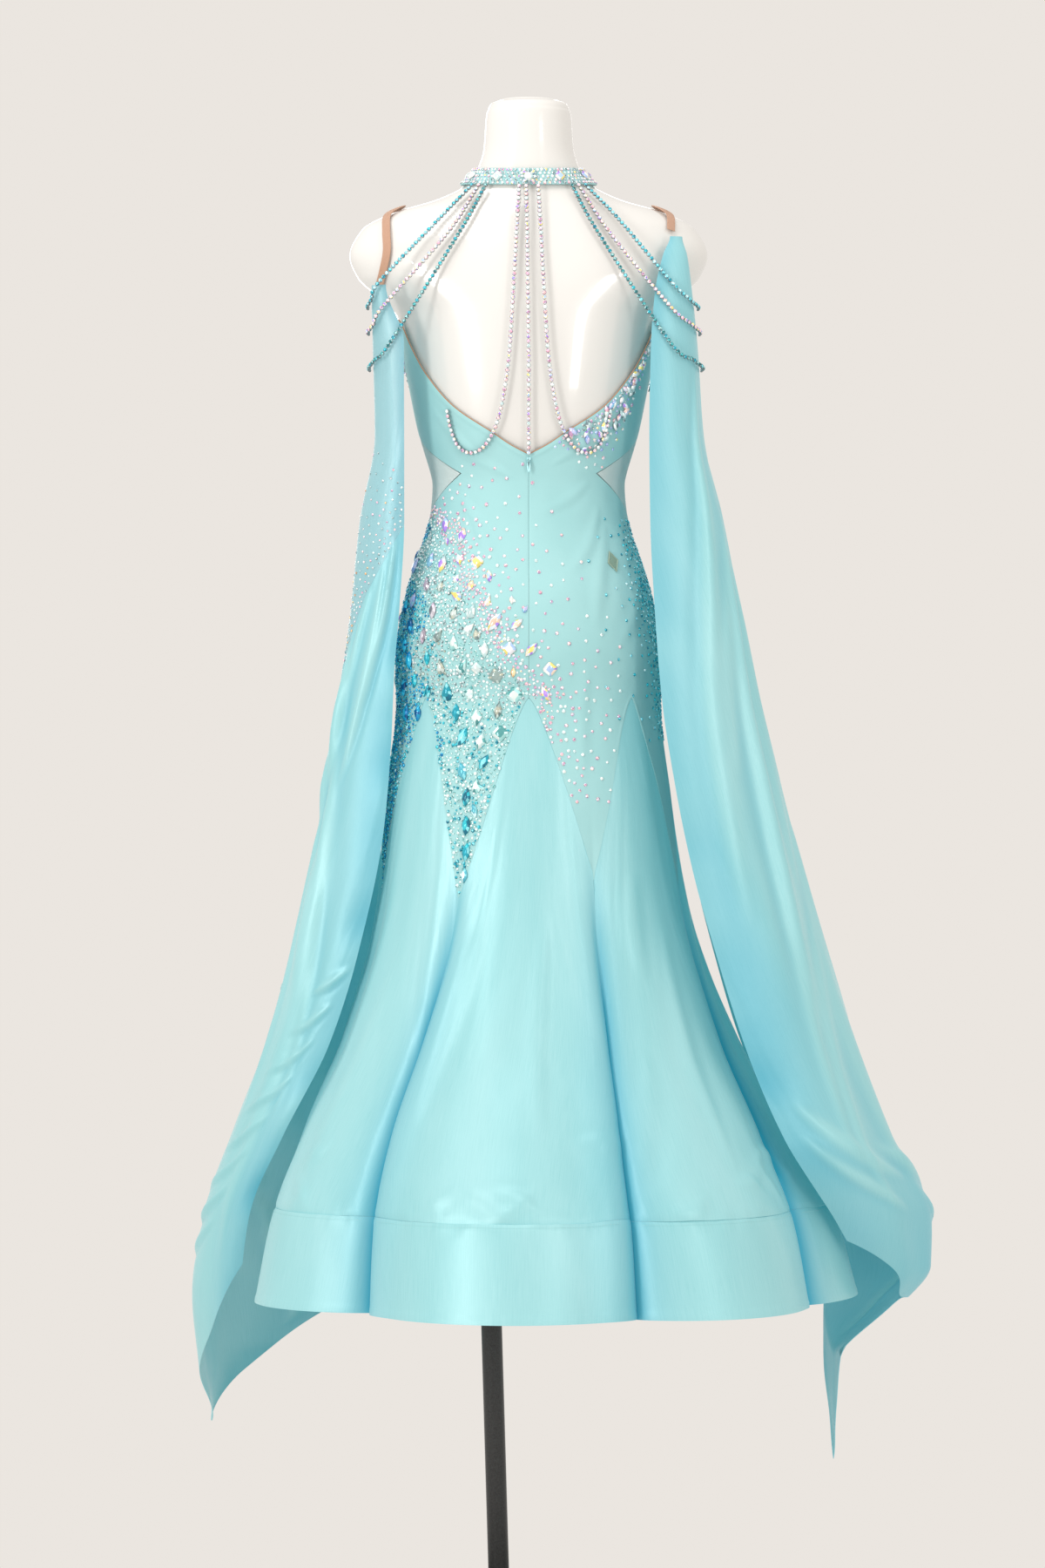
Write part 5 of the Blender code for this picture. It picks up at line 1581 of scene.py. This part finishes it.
class DRESS_OT_edge_stones(bpy.types.Operator):
    """Set the teal stones of the right hip and the stones of the neckline"""

    bl_idname = "dress.edge_stones"
    bl_label = "Right hip and neckline stones"

    def execute(self, context):
        draw = np.random.default_rng(91)
        angle, height, places, outward = candidates(draw, 9000, (-150.0, -28.0), (1.075, 1.345))
        away = -angle
        core = 55.0 + 170.0 * np.abs(height - 1.245) ** 1.15
        hidden = (138 - away) * 0.65 + 6 - 330.0 * np.abs(height - 1.215) ** 1.3
        depth = np.where(away > 90, np.minimum(hidden, away - core), away - core)
        use = clear_of_edges(angle, height) & ~in_inset(angle, height) & (depth > -34)
        use = np.flatnonzero(use)
        spacing = np.where(depth[use] > 0, mix(0.0072, 0.0042, np.clip(depth[use] / 14, 0, 1)),
                           0.0085 + 0.0009 * np.abs(depth[use]))
        kept = use[spread(places[use], spacing)]
        set_small(92, "right_hip_stones", "dot", places[kept], outward[kept],
                  draw.uniform(0.0036, 0.0047, len(kept)),
                  draw.choice(["teal", "teal", "aqua"], len(kept)), 0.4)
        count = 16000
        angle = draw.choice([-1.0, -1.0, 1.0], count) * draw.uniform(14.0, 140.0, count)
        height = draw.uniform(1.4, 1.61, count)
        places, outward = on_body(angle, height)
        away = np.abs(angle)
        below = top_height(angle) - height
        share = np.where(angle < 0, 1.0, 0.0) + np.where(away > 84, 1.0, 0.0)
        band = np.where(away < 84, 0.082 * np.exp(-((away - 50) / 25) ** 2) + 0.006, 0.04)
        inside = (below > 0.004) & (below < band) & (share > 0) & ~in_inset(angle, height)
        use = np.flatnonzero(inside)
        spacing = 0.0036 + 0.008 * (below[use] / band[use]) ** 1.8 + 0.004 * (away[use] > 100)
        kept = use[spread(places[use], spacing)]
        edge = Stones(93)
        big = draw.uniform(size=len(kept)) < np.where(below[kept] < 0.045, 0.2, 0.03)
        for cut, picked, low, high in (("round", ~big, 0.0034, 0.0052), ("kite", big, 0.01, 0.015)):
            rows = kept[picked]
            axis = turned(UP, outward[rows], draw.uniform(-60, 60, len(rows)))
            tints = draw.choice(["ab", "silver", "pink", "lilac", "clear"], len(rows))
            edge.add(cut, places[rows] + outward[rows] * (0.0012 if cut == "kite" else 0.0), outward[rows],
                     axis, draw.uniform(low, high, len(rows)), tints, table=0.55)
        edge.finish("neckline_stones")
        return {"FINISHED"}


class DRESS_OT_sleeve_stones(bpy.types.Operator):
    """Scatter stones down the sheer sleeve, closer together towards its slanted seam"""

    bl_idname = "dress.sleeve_stones"
    bl_label = "Sleeve stones"

    def execute(self, context):
        draw = np.random.default_rng(55)
        count = 9000
        across = draw.uniform(0.02, 0.98, count)
        height = draw.uniform(1.165, 1.43, count)
        rise = float_rise(1, across, height) * 0.55 + 0.0006
        places = float_point(left_float, 1, across, height, rise)
        outward = unit(float_point(left_float, 1, across, height, rise + 0.005) - places)
        above = height - left_seam(across)[0]
        use = np.flatnonzero((above > 0.004) & (height < 1.43 - 0.25 * np.abs(across - 0.4) ** 2))
        spacing = 0.0048 + 0.055 * np.clip(above[use], 0, 1)**1.05 + 0.00012
        kept = use[spread(places[use], spacing)]
        tints = draw.choice(["silver", "pink", "clear", "silver", "amber"], len(kept))
        set_small(56, "sleeve_stones", "dot", places[kept], outward[kept],
                  draw.uniform(0.0026, 0.0036, len(kept)), tints, 0.4)
        return {"FINISHED"}


# ---- collar and chains ----
COLLAR_GIRTH = 0.352


class DRESS_OT_collar(bpy.types.Operator):
    """Wrap the collar band and cover it with stones"""

    bl_idname = "dress.collar"
    bl_label = "Collar"

    def execute(self, context):
        draw = np.random.default_rng(31)

        def foot(angle):
            return COLLAR_FOOT - COLLAR_DIP * np.cos(np.radians(angle))

        angle = np.linspace(COLLAR_SLIT, 360.0 - COLLAR_SLIT, 193)[None, :]
        up = np.linspace(0.0, 1.0, 13)[:, None]
        grid = np.broadcast_to(angle, (13, 193))
        height = foot(angle) + up * COLLAR_HEIGHT
        dome = 1.0 - 0.35 * np.abs(2 * up - 1) ** 5
        inner = form_skin(grid, height, COLLAR_EASE + 0.0002)
        outer = form_skin(grid, height, COLLAR_EASE + 0.0002 + (COLLAR_WALL - 0.0006) * dome)
        band = shell("collar_band", inner, outer, False, finishes["crepe"])
        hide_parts("collar")
        stones = Stones(32)
        lift = COLLAR_EASE + COLLAR_WALL - 0.0006
        count = int(COLLAR_GIRTH / 0.0042)
        for row in range(5):
            turn = (np.arange(count) + 0.5 * (row % 2)) * 360.0 / count + draw.uniform(-0.25, 0.25, count)
            turn = turn[(turn > COLLAR_SLIT + 1) & (turn < 359 - COLLAR_SLIT)]
            level = foot(turn) + COLLAR_HEIGHT * (0.1 + 0.2 * row)
            level += draw.uniform(-0.0003, 0.0003, len(turn))
            places = form_skin(turn, level, lift)
            outward = unit(form_skin(turn, level, lift + 0.005) - places)
            stones.add("round", places, outward, UP, draw.uniform(0.0036, 0.0045, len(turn)),
                       draw.choice(["pink", "silver", "ab", "clear", "silver"], len(turn)), 0.34, 0.55)
        for turn in (29.0, -29.0, 63.0, -63.0, 100.0, -100.0, 140.0, -140.0, 180.0):
            level = np.array([float(foot(turn)) + COLLAR_HEIGHT / 2])
            place = form_skin(np.array([turn]), level, lift + 0.0012)
            outward = unit(form_skin(np.array([turn]), level, lift + 0.006) - place)
            axis = turned(UP, outward, 45.0 if abs(turn) != 180 else 0.0)
            stones.add("square", place, outward, axis, 0.0125, "ab" if turn < 0 else "clear", 0.22, 0.55)
        stones.finish("collar_stones")
        clasp = Stones(33)
        low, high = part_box("collar_clasp")
        middle = (np.array([low]) + np.array([high])) / 2
        level = np.array([COLLAR_FOOT - COLLAR_DIP + COLLAR_HEIGHT / 2])
        outward = unit(form_skin(np.array([0.0]), level, 0.005) - form_skin(np.array([0.0]), level, 0.0))
        seat = middle - outward * 0.0018
        clasp.add("round", seat, outward, UP, 0.011, "clear", table=0.6)
        for k in range(8):
            turn = turned(UP, outward, 45.0 * k)
            clasp.add("drop", seat + turn * 0.0081, outward, turn, 0.0066, "ab" if k % 2 else "silver",
                      0.34, 0.55)
        piece = clasp.finish("clasp_flower")
        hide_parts("collar_clasp")
        return {"FINISHED"}


def on_the_back(side, x, height, extra=0.0):
    half = form_table(height)[0]
    angle = np.degrees(np.arcsin(np.minimum(np.asarray(x) / half, 0.985)))
    lift = cloth_slack(np.asarray(height)) + CREPE + CHAIN_RADIUS + CHAIN_GAP + extra
    return form_skin(side * angle, height, lift)


CUP_RADIUS = CHAIN_RADIUS * 1.12
CUP_SIDES = 8
# a cup's rings, in its radius: how wide, how far out
CUP_RINGS = ((0.62, -0.75), (1.0, -0.35), (1.0, 0.25), (0.84, 0.36))


def ring_faces(rings, sides):
    """Faces of a solid made of rings of vertices, with a flat face at each end."""
    last = (rings - 1) * sides
    faces = [tuple(range(sides)), tuple(range(last + sides - 1, last - 1, -1))]
    for start in range(0, last, sides):
        faces += [(start + k, start + sides + k, start + sides + (k + 1) % sides, start + (k + 1) % sides)
                  for k in range(sides)]
    return faces


def chain_piece(name, line, above, tints, seed):
    """A chain of stones in silver cups along a line of points."""
    length = float(np.linalg.norm(np.diff(line, axis=0), axis=1).sum())
    count = max(3, round(length / sizes().chain_pitch))
    places = rounded_route(line, count)
    outward = unit(rounded_route(above, count) - places)
    ahead = unit(np.gradient(places, axis=0))
    outward = square_to(outward, ahead)
    side = np.cross(outward, ahead)
    faces = ring_faces(len(CUP_RINGS), CUP_SIDES)
    parts = []
    turn = np.arange(CUP_SIDES) / CUP_SIDES * 2 * np.pi
    for n in range(count):
        rings = []
        for wide, deep in CUP_RINGS:
            ring = side[n] * np.cos(turn)[:, None] + ahead[n] * np.sin(turn)[:, None]
            rings.append(places[n] + ring * wide * CUP_RADIUS + outward[n] * deep * CUP_RADIUS)
        parts.append((np.vstack(rings), faces))
    parts.append(tube_mesh(places - outward * CUP_RADIUS * 0.35, 0.0006, 6))
    verts, faces = joined(parts)
    cups = mesh_object(name + "_cups", verts, faces, finishes["cup"], smooth=50)
    stones = Stones(seed)
    pattern = [tints[n % len(tints)] for n in range(count)]
    stones.add("round", places + outward * CUP_RADIUS * 0.3, outward, ahead, CUP_RADIUS * 1.78,
               pattern, 0.28, 0.55)
    stones.finish(name + "_stones")
    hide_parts(name)


class DRESS_OT_chains(bpy.types.Operator):
    """Hang the three back drapes and the six arm chains"""

    bl_idname = "dress.chains"
    bl_label = "Chains"

    def execute(self, context):
        for name, side, marks, count in (("drape_centre", 1, CENTRE_DRAPE, 10),
                                         ("drape_left", 1, SIDE_DRAPE, 16),
                                         ("drape_right", -1, SIDE_DRAPE, 16)):
            x, height = np.array(marks).T
            line = rounded_route(on_the_back(side, x, height), count * 4)
            above = rounded_route(on_the_back(side, x, height, 0.006), count * 4)
            chain_piece(name, line, above, ["pink", "ab", "pink", "clear"], 200 + count + side)
        tints = (["teal", "aqua"], ["pink", "ab"], ["deep", "deep", "teal"])
        for label, side, table in (("left", 1, left_float), ("right", -1, right_float)):
            for n, (collar_x, back_x, back_height, arm_height) in enumerate(ARM_CHAINS):
                routes = []
                for extra in (0.0, 0.006):
                    across = np.array([0.12, 0.3, 0.45, 0.6])
                    rise = np.array([0.03, 0.01, 0.002, 0.0])
                    arm = float_point(table, side, across, arm_height + rise, ARM_CHAIN_OUT + extra)
                    start = on_the_back(side, np.array([collar_x, back_x]),
                                        np.array([CHAIN_START, back_height]), extra)
                    routes.append(rounded_route(np.vstack([start, arm]), 60))
                chain_piece(f"arm_chain_{label}_{n + 1}", *routes, tints[n], 300 + 10 * n + side)
        return {"FINISHED"}


# ---- zip, plaque and stitches ----
COIL_FOOT, COIL_PITCH = 1.274, 0.001
COIL_TOOTH = np.array([0.0006, 0.00035, 0.0003])


class DRESS_OT_zip(bpy.types.Operator):
    """Make the slider, its pull tab and the coil in the centre-back slit"""

    bl_idname = "dress.zip"
    bl_label = "Zip"

    def execute(self, context):
        low, high = (Vector(corner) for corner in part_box("zip_slider"))
        size = high - low
        bpy.ops.mesh.primitive_cube_add(size=1.0, location=(low + high) / 2, scale=size)
        slider = start_piece("zip_slider_body")
        bpy.ops.object.transform_apply(location=False, rotation=False, scale=True)
        edit(slider)
        pick_faces(slider, lambda face: face.normal.z < -0.9)
        bpy.ops.transform.resize(value=(0.62, 1.0, 1.0))
        pick_faces(slider, lambda face: face.normal.y > 0.9)
        inset(0.0008, (0.0, -0.0005, 0.0))
        leave_edit(slider, finishes["zip"], bevel=0.0004)
        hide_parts("zip_slider")
        low, high = (Vector(corner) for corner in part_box("zip_pull"))
        size = high - low
        bpy.ops.mesh.primitive_cylinder_add(vertices=48, radius=0.5, depth=1.0,
                                            location=(low + high) / 2, rotation=(math.pi / 2, 0.0, 0.0),
                                            scale=(size.x, size.z, size.y))
        tab = start_piece("zip_pull_tab")
        bpy.ops.object.transform_apply(location=False, rotation=True, scale=True)
        top = size.z / 2
        for vert in tab.data.vertices:
            along = (vert.co.z + top) / size.z
            vert.co.x *= 0.42 + 0.58 * min(1.0, 2.1 * (1.0 - along)) ** 0.7 + 0.12 * (along > 0.93)
        edit(tab)
        pick_faces(tab, lambda face: abs(face.normal.y) > 0.9)
        bpy.ops.mesh.inset(thickness=0.00035, depth=0.0)
        bpy.ops.mesh.inset(thickness=0.00025, depth=-0.00015)
        leave_edit(tab, finishes["zip"], body="zip_tab")
        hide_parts("zip_pull")
        parts = []
        cube = np.array([(x, y, z) for x in (-1, 1) for y in (-1, 1) for z in (-1, 1)], float)
        faces = [(0, 1, 3, 2), (4, 6, 7, 5), (0, 4, 5, 1), (2, 3, 7, 6), (0, 2, 6, 4), (1, 5, 7, 3)]
        for n, height in enumerate(np.arange(COIL_FOOT, ZIP_HEIGHT - 0.006, COIL_PITCH)):
            side = 1 if n % 2 else -1
            middle = cloth_point(0.0, float(height), 0.0) + np.array([0.00035 * side, -0.0001, 0.0])
            parts.append((middle + cube * COIL_TOOTH, faces))
        verts, faces = joined(parts)
        mesh_object("zip_coil_teeth", verts, faces, finishes["coil"], smooth=0)
        return {"FINISHED"}


PLAQUE_PLACE = (0.1035, 1.291)
PLAQUE_LIFT = 0.0012
PLAQUE_OUTLINE = np.array([(0.0, 0.0138), (0.0085, 0.0), (0.0, -0.0138), (-0.0085, 0.0)])
# the plaque's rings from its back: share of its outline, how far out
PLAQUE_RINGS = ((1.0, 0.0), (1.0, 0.0007), (0.93, 0.0011), (0.86, 0.0011), (0.82, 0.0008))
STITCH_RADIUS = 0.00022


class DRESS_OT_trims(bpy.types.Operator):
    """Sew the plain plaque at the right hip and the stitches of the hem seam"""

    bl_idname = "dress.trims"
    bl_label = "Plaque and stitches"

    def execute(self, context):
        x, height = PLAQUE_PLACE
        place, outward = on_body(-angle_at(x, height), height, 0.0)
        upward = turned(UP, outward, -14.0)[0]
        side = np.cross(upward, outward[0])
        rings = []
        for share, out in PLAQUE_RINGS:
            flat = PLAQUE_OUTLINE * share
            rings.append(place[0] + flat[:, :1] * side + flat[:, 1:] * upward
                         + outward[0] * (out + PLAQUE_LIFT))
        faces = [(3, 2, 1, 0), (16, 17, 18, 19)]
        for r in range(4):
            faces += [(4 * r + k, 4 * r + (k + 1) % 4, 4 * r + 4 + (k + 1) % 4, 4 * r + 4 + k)
                      for k in range(4)]
        mesh_object("hip_plaque", np.vstack(rings), faces, finishes["plaque"], smooth=20)
        parts = []
        for n in range(FLUTES):
            across = np.linspace(0.03, 0.97, 96)
            height = np.full_like(across, BAND_TOP - 0.0042)
            angle = (n + across - 0.5) * PITCH
            rise = band_rise(n, across, height) + BAND_WALL - 0.0006
            line = cloth_point(angle, height, rise + 0.00005)
            for a, b in zip(line[:-1], line[1:]):
                step = (b - a) * 0.32
                middle = (a + b) / 2
                parts.append(tube_mesh([middle - step, middle + step], STITCH_RADIUS, 5))
        verts, faces = joined(parts)
        mesh_object("hem_stitches", verts, faces, finishes["crepe"], smooth=60)
        return {"FINISHED"}


# ---- stage ----
CAMERA_PLACE, CAMERA_LENS = (0.0075, 6.0, 1.0234), 112.1
SURROUNDINGS = (0.83, 0.79, 0.745, 1.0)
WARM, WHITE = (1.0, 0.98, 0.95), (1.0, 1.0, 1.0)
# name, place, height faced, width, height, watts and colour
SOFTBOXES = [
    ("softbox_left", (2.5, 3.2, 1.8), 1.1, 0.6, 1.9, 50, WARM),
    ("softbox_right", (-2.2, 3.6, 1.7), 1.1, 0.5, 1.8, 21, WARM),
    ("overhead", (0.6, 0.9, 3.4), 1.0, 1.2, 1.2, 16, WHITE),
    ("front_fill", (0.5, -3.4, 2.0), 1.1, 1.8, 1.8, 22, WHITE),
]


def add_area(name, place, aim, width, height, power, tint):
    light = bpy.data.lights.new(name, "AREA")
    light.shape, light.size, light.size_y = "RECTANGLE", width, height
    light.energy, light.color = power, tint
    lamp = bpy.data.objects.new(name, light)
    bpy.context.scene.collection.objects.link(lamp)
    lamp.location = place
    lamp.rotation_euler = (Vector((0.0, 0.0, aim)) - Vector(place)).to_track_quat("-Z", "Y").to_euler()


class DRESS_OT_stage(bpy.types.Operator):
    """Lay the floor and set the camera, the softboxes and the pale surroundings"""

    bl_idname = "dress.stage"
    bl_label = "Stage"

    def execute(self, context):
        bpy.ops.object.select_all(action="DESELECT")
        bpy.ops.mesh.primitive_circle_add(vertices=128, radius=0.34, fill_type="NGON",
                                          location=(0.0, 0.0, -0.0002))
        floor = start_piece("studio_floor_disc")
        bpy.ops.object.transform_apply(location=True, rotation=True, scale=True)
        floor.data.materials.append(finishes["floor"])
        world = bpy.data.worlds.new("studio")
        context.scene.world = world
        world.use_nodes = True
        surroundings = world.node_tree.nodes["Background"].inputs
        surroundings["Color"].default_value = SURROUNDINGS
        surroundings["Strength"].default_value = 1.0
        context.scene.view_settings.view_transform = "Standard"
        for row in SOFTBOXES:
            add_area(*row)
        camera = bpy.data.cameras.new("camera")
        camera.sensor_width, camera.lens = 36.0, CAMERA_LENS
        viewer = bpy.data.objects.new("camera", camera)
        context.scene.collection.objects.link(viewer)
        viewer.location = CAMERA_PLACE
        viewer.rotation_euler = (math.pi / 2, 0.0, math.pi)
        context.scene.camera = viewer
        return {"FINISHED"}


class VIEW3D_PT_dress(bpy.types.Panel):
    """The dress's pieces, one button each"""

    bl_label = "Ballroom dance dress"
    bl_category = "Dress"
    bl_space_type = "VIEW_3D"
    bl_region_type = "UI"

    def draw(self, context):
        for group in (context.scene.dress_colours, context.scene.dress_sizes):
            for name in group.bl_rna.properties.keys():
                if name not in {"name", "rna_type"}:
                    self.layout.prop(group, name)
        for operator in OPERATORS:
            self.layout.operator(operator.bl_idname)


OPERATORS = (DRESS_OT_finishes, DRESS_OT_form, DRESS_OT_stand, DRESS_OT_body, DRESS_OT_insets,
             DRESS_OT_skirt, DRESS_OT_floats, DRESS_OT_straps, DRESS_OT_hip_stones,
             DRESS_OT_edge_stones, DRESS_OT_sleeve_stones, DRESS_OT_collar, DRESS_OT_chains,
             DRESS_OT_zip, DRESS_OT_trims, DRESS_OT_stage)
CLASSES = (DressColours, DressSizes, *OPERATORS, VIEW3D_PT_dress)


def register():
    for item in CLASSES:
        bpy.utils.register_class(item)
    bpy.types.Scene.dress_colours = PointerProperty(type=DressColours)
    bpy.types.Scene.dress_sizes = PointerProperty(type=DressSizes)


def unregister():
    del bpy.types.Scene.dress_sizes
    del bpy.types.Scene.dress_colours
    for item in reversed(CLASSES):
        bpy.utils.unregister_class(item)


def main():
    register()
    bpy.ops.object.select_all(action="DESELECT")
    for operator in OPERATORS:
        group, name = operator.bl_idname.split(".")
        getattr(getattr(bpy.ops, group), name)()
        bpy.ops.object.select_all(action="DESELECT")


if __name__ == "__main__":
    main()
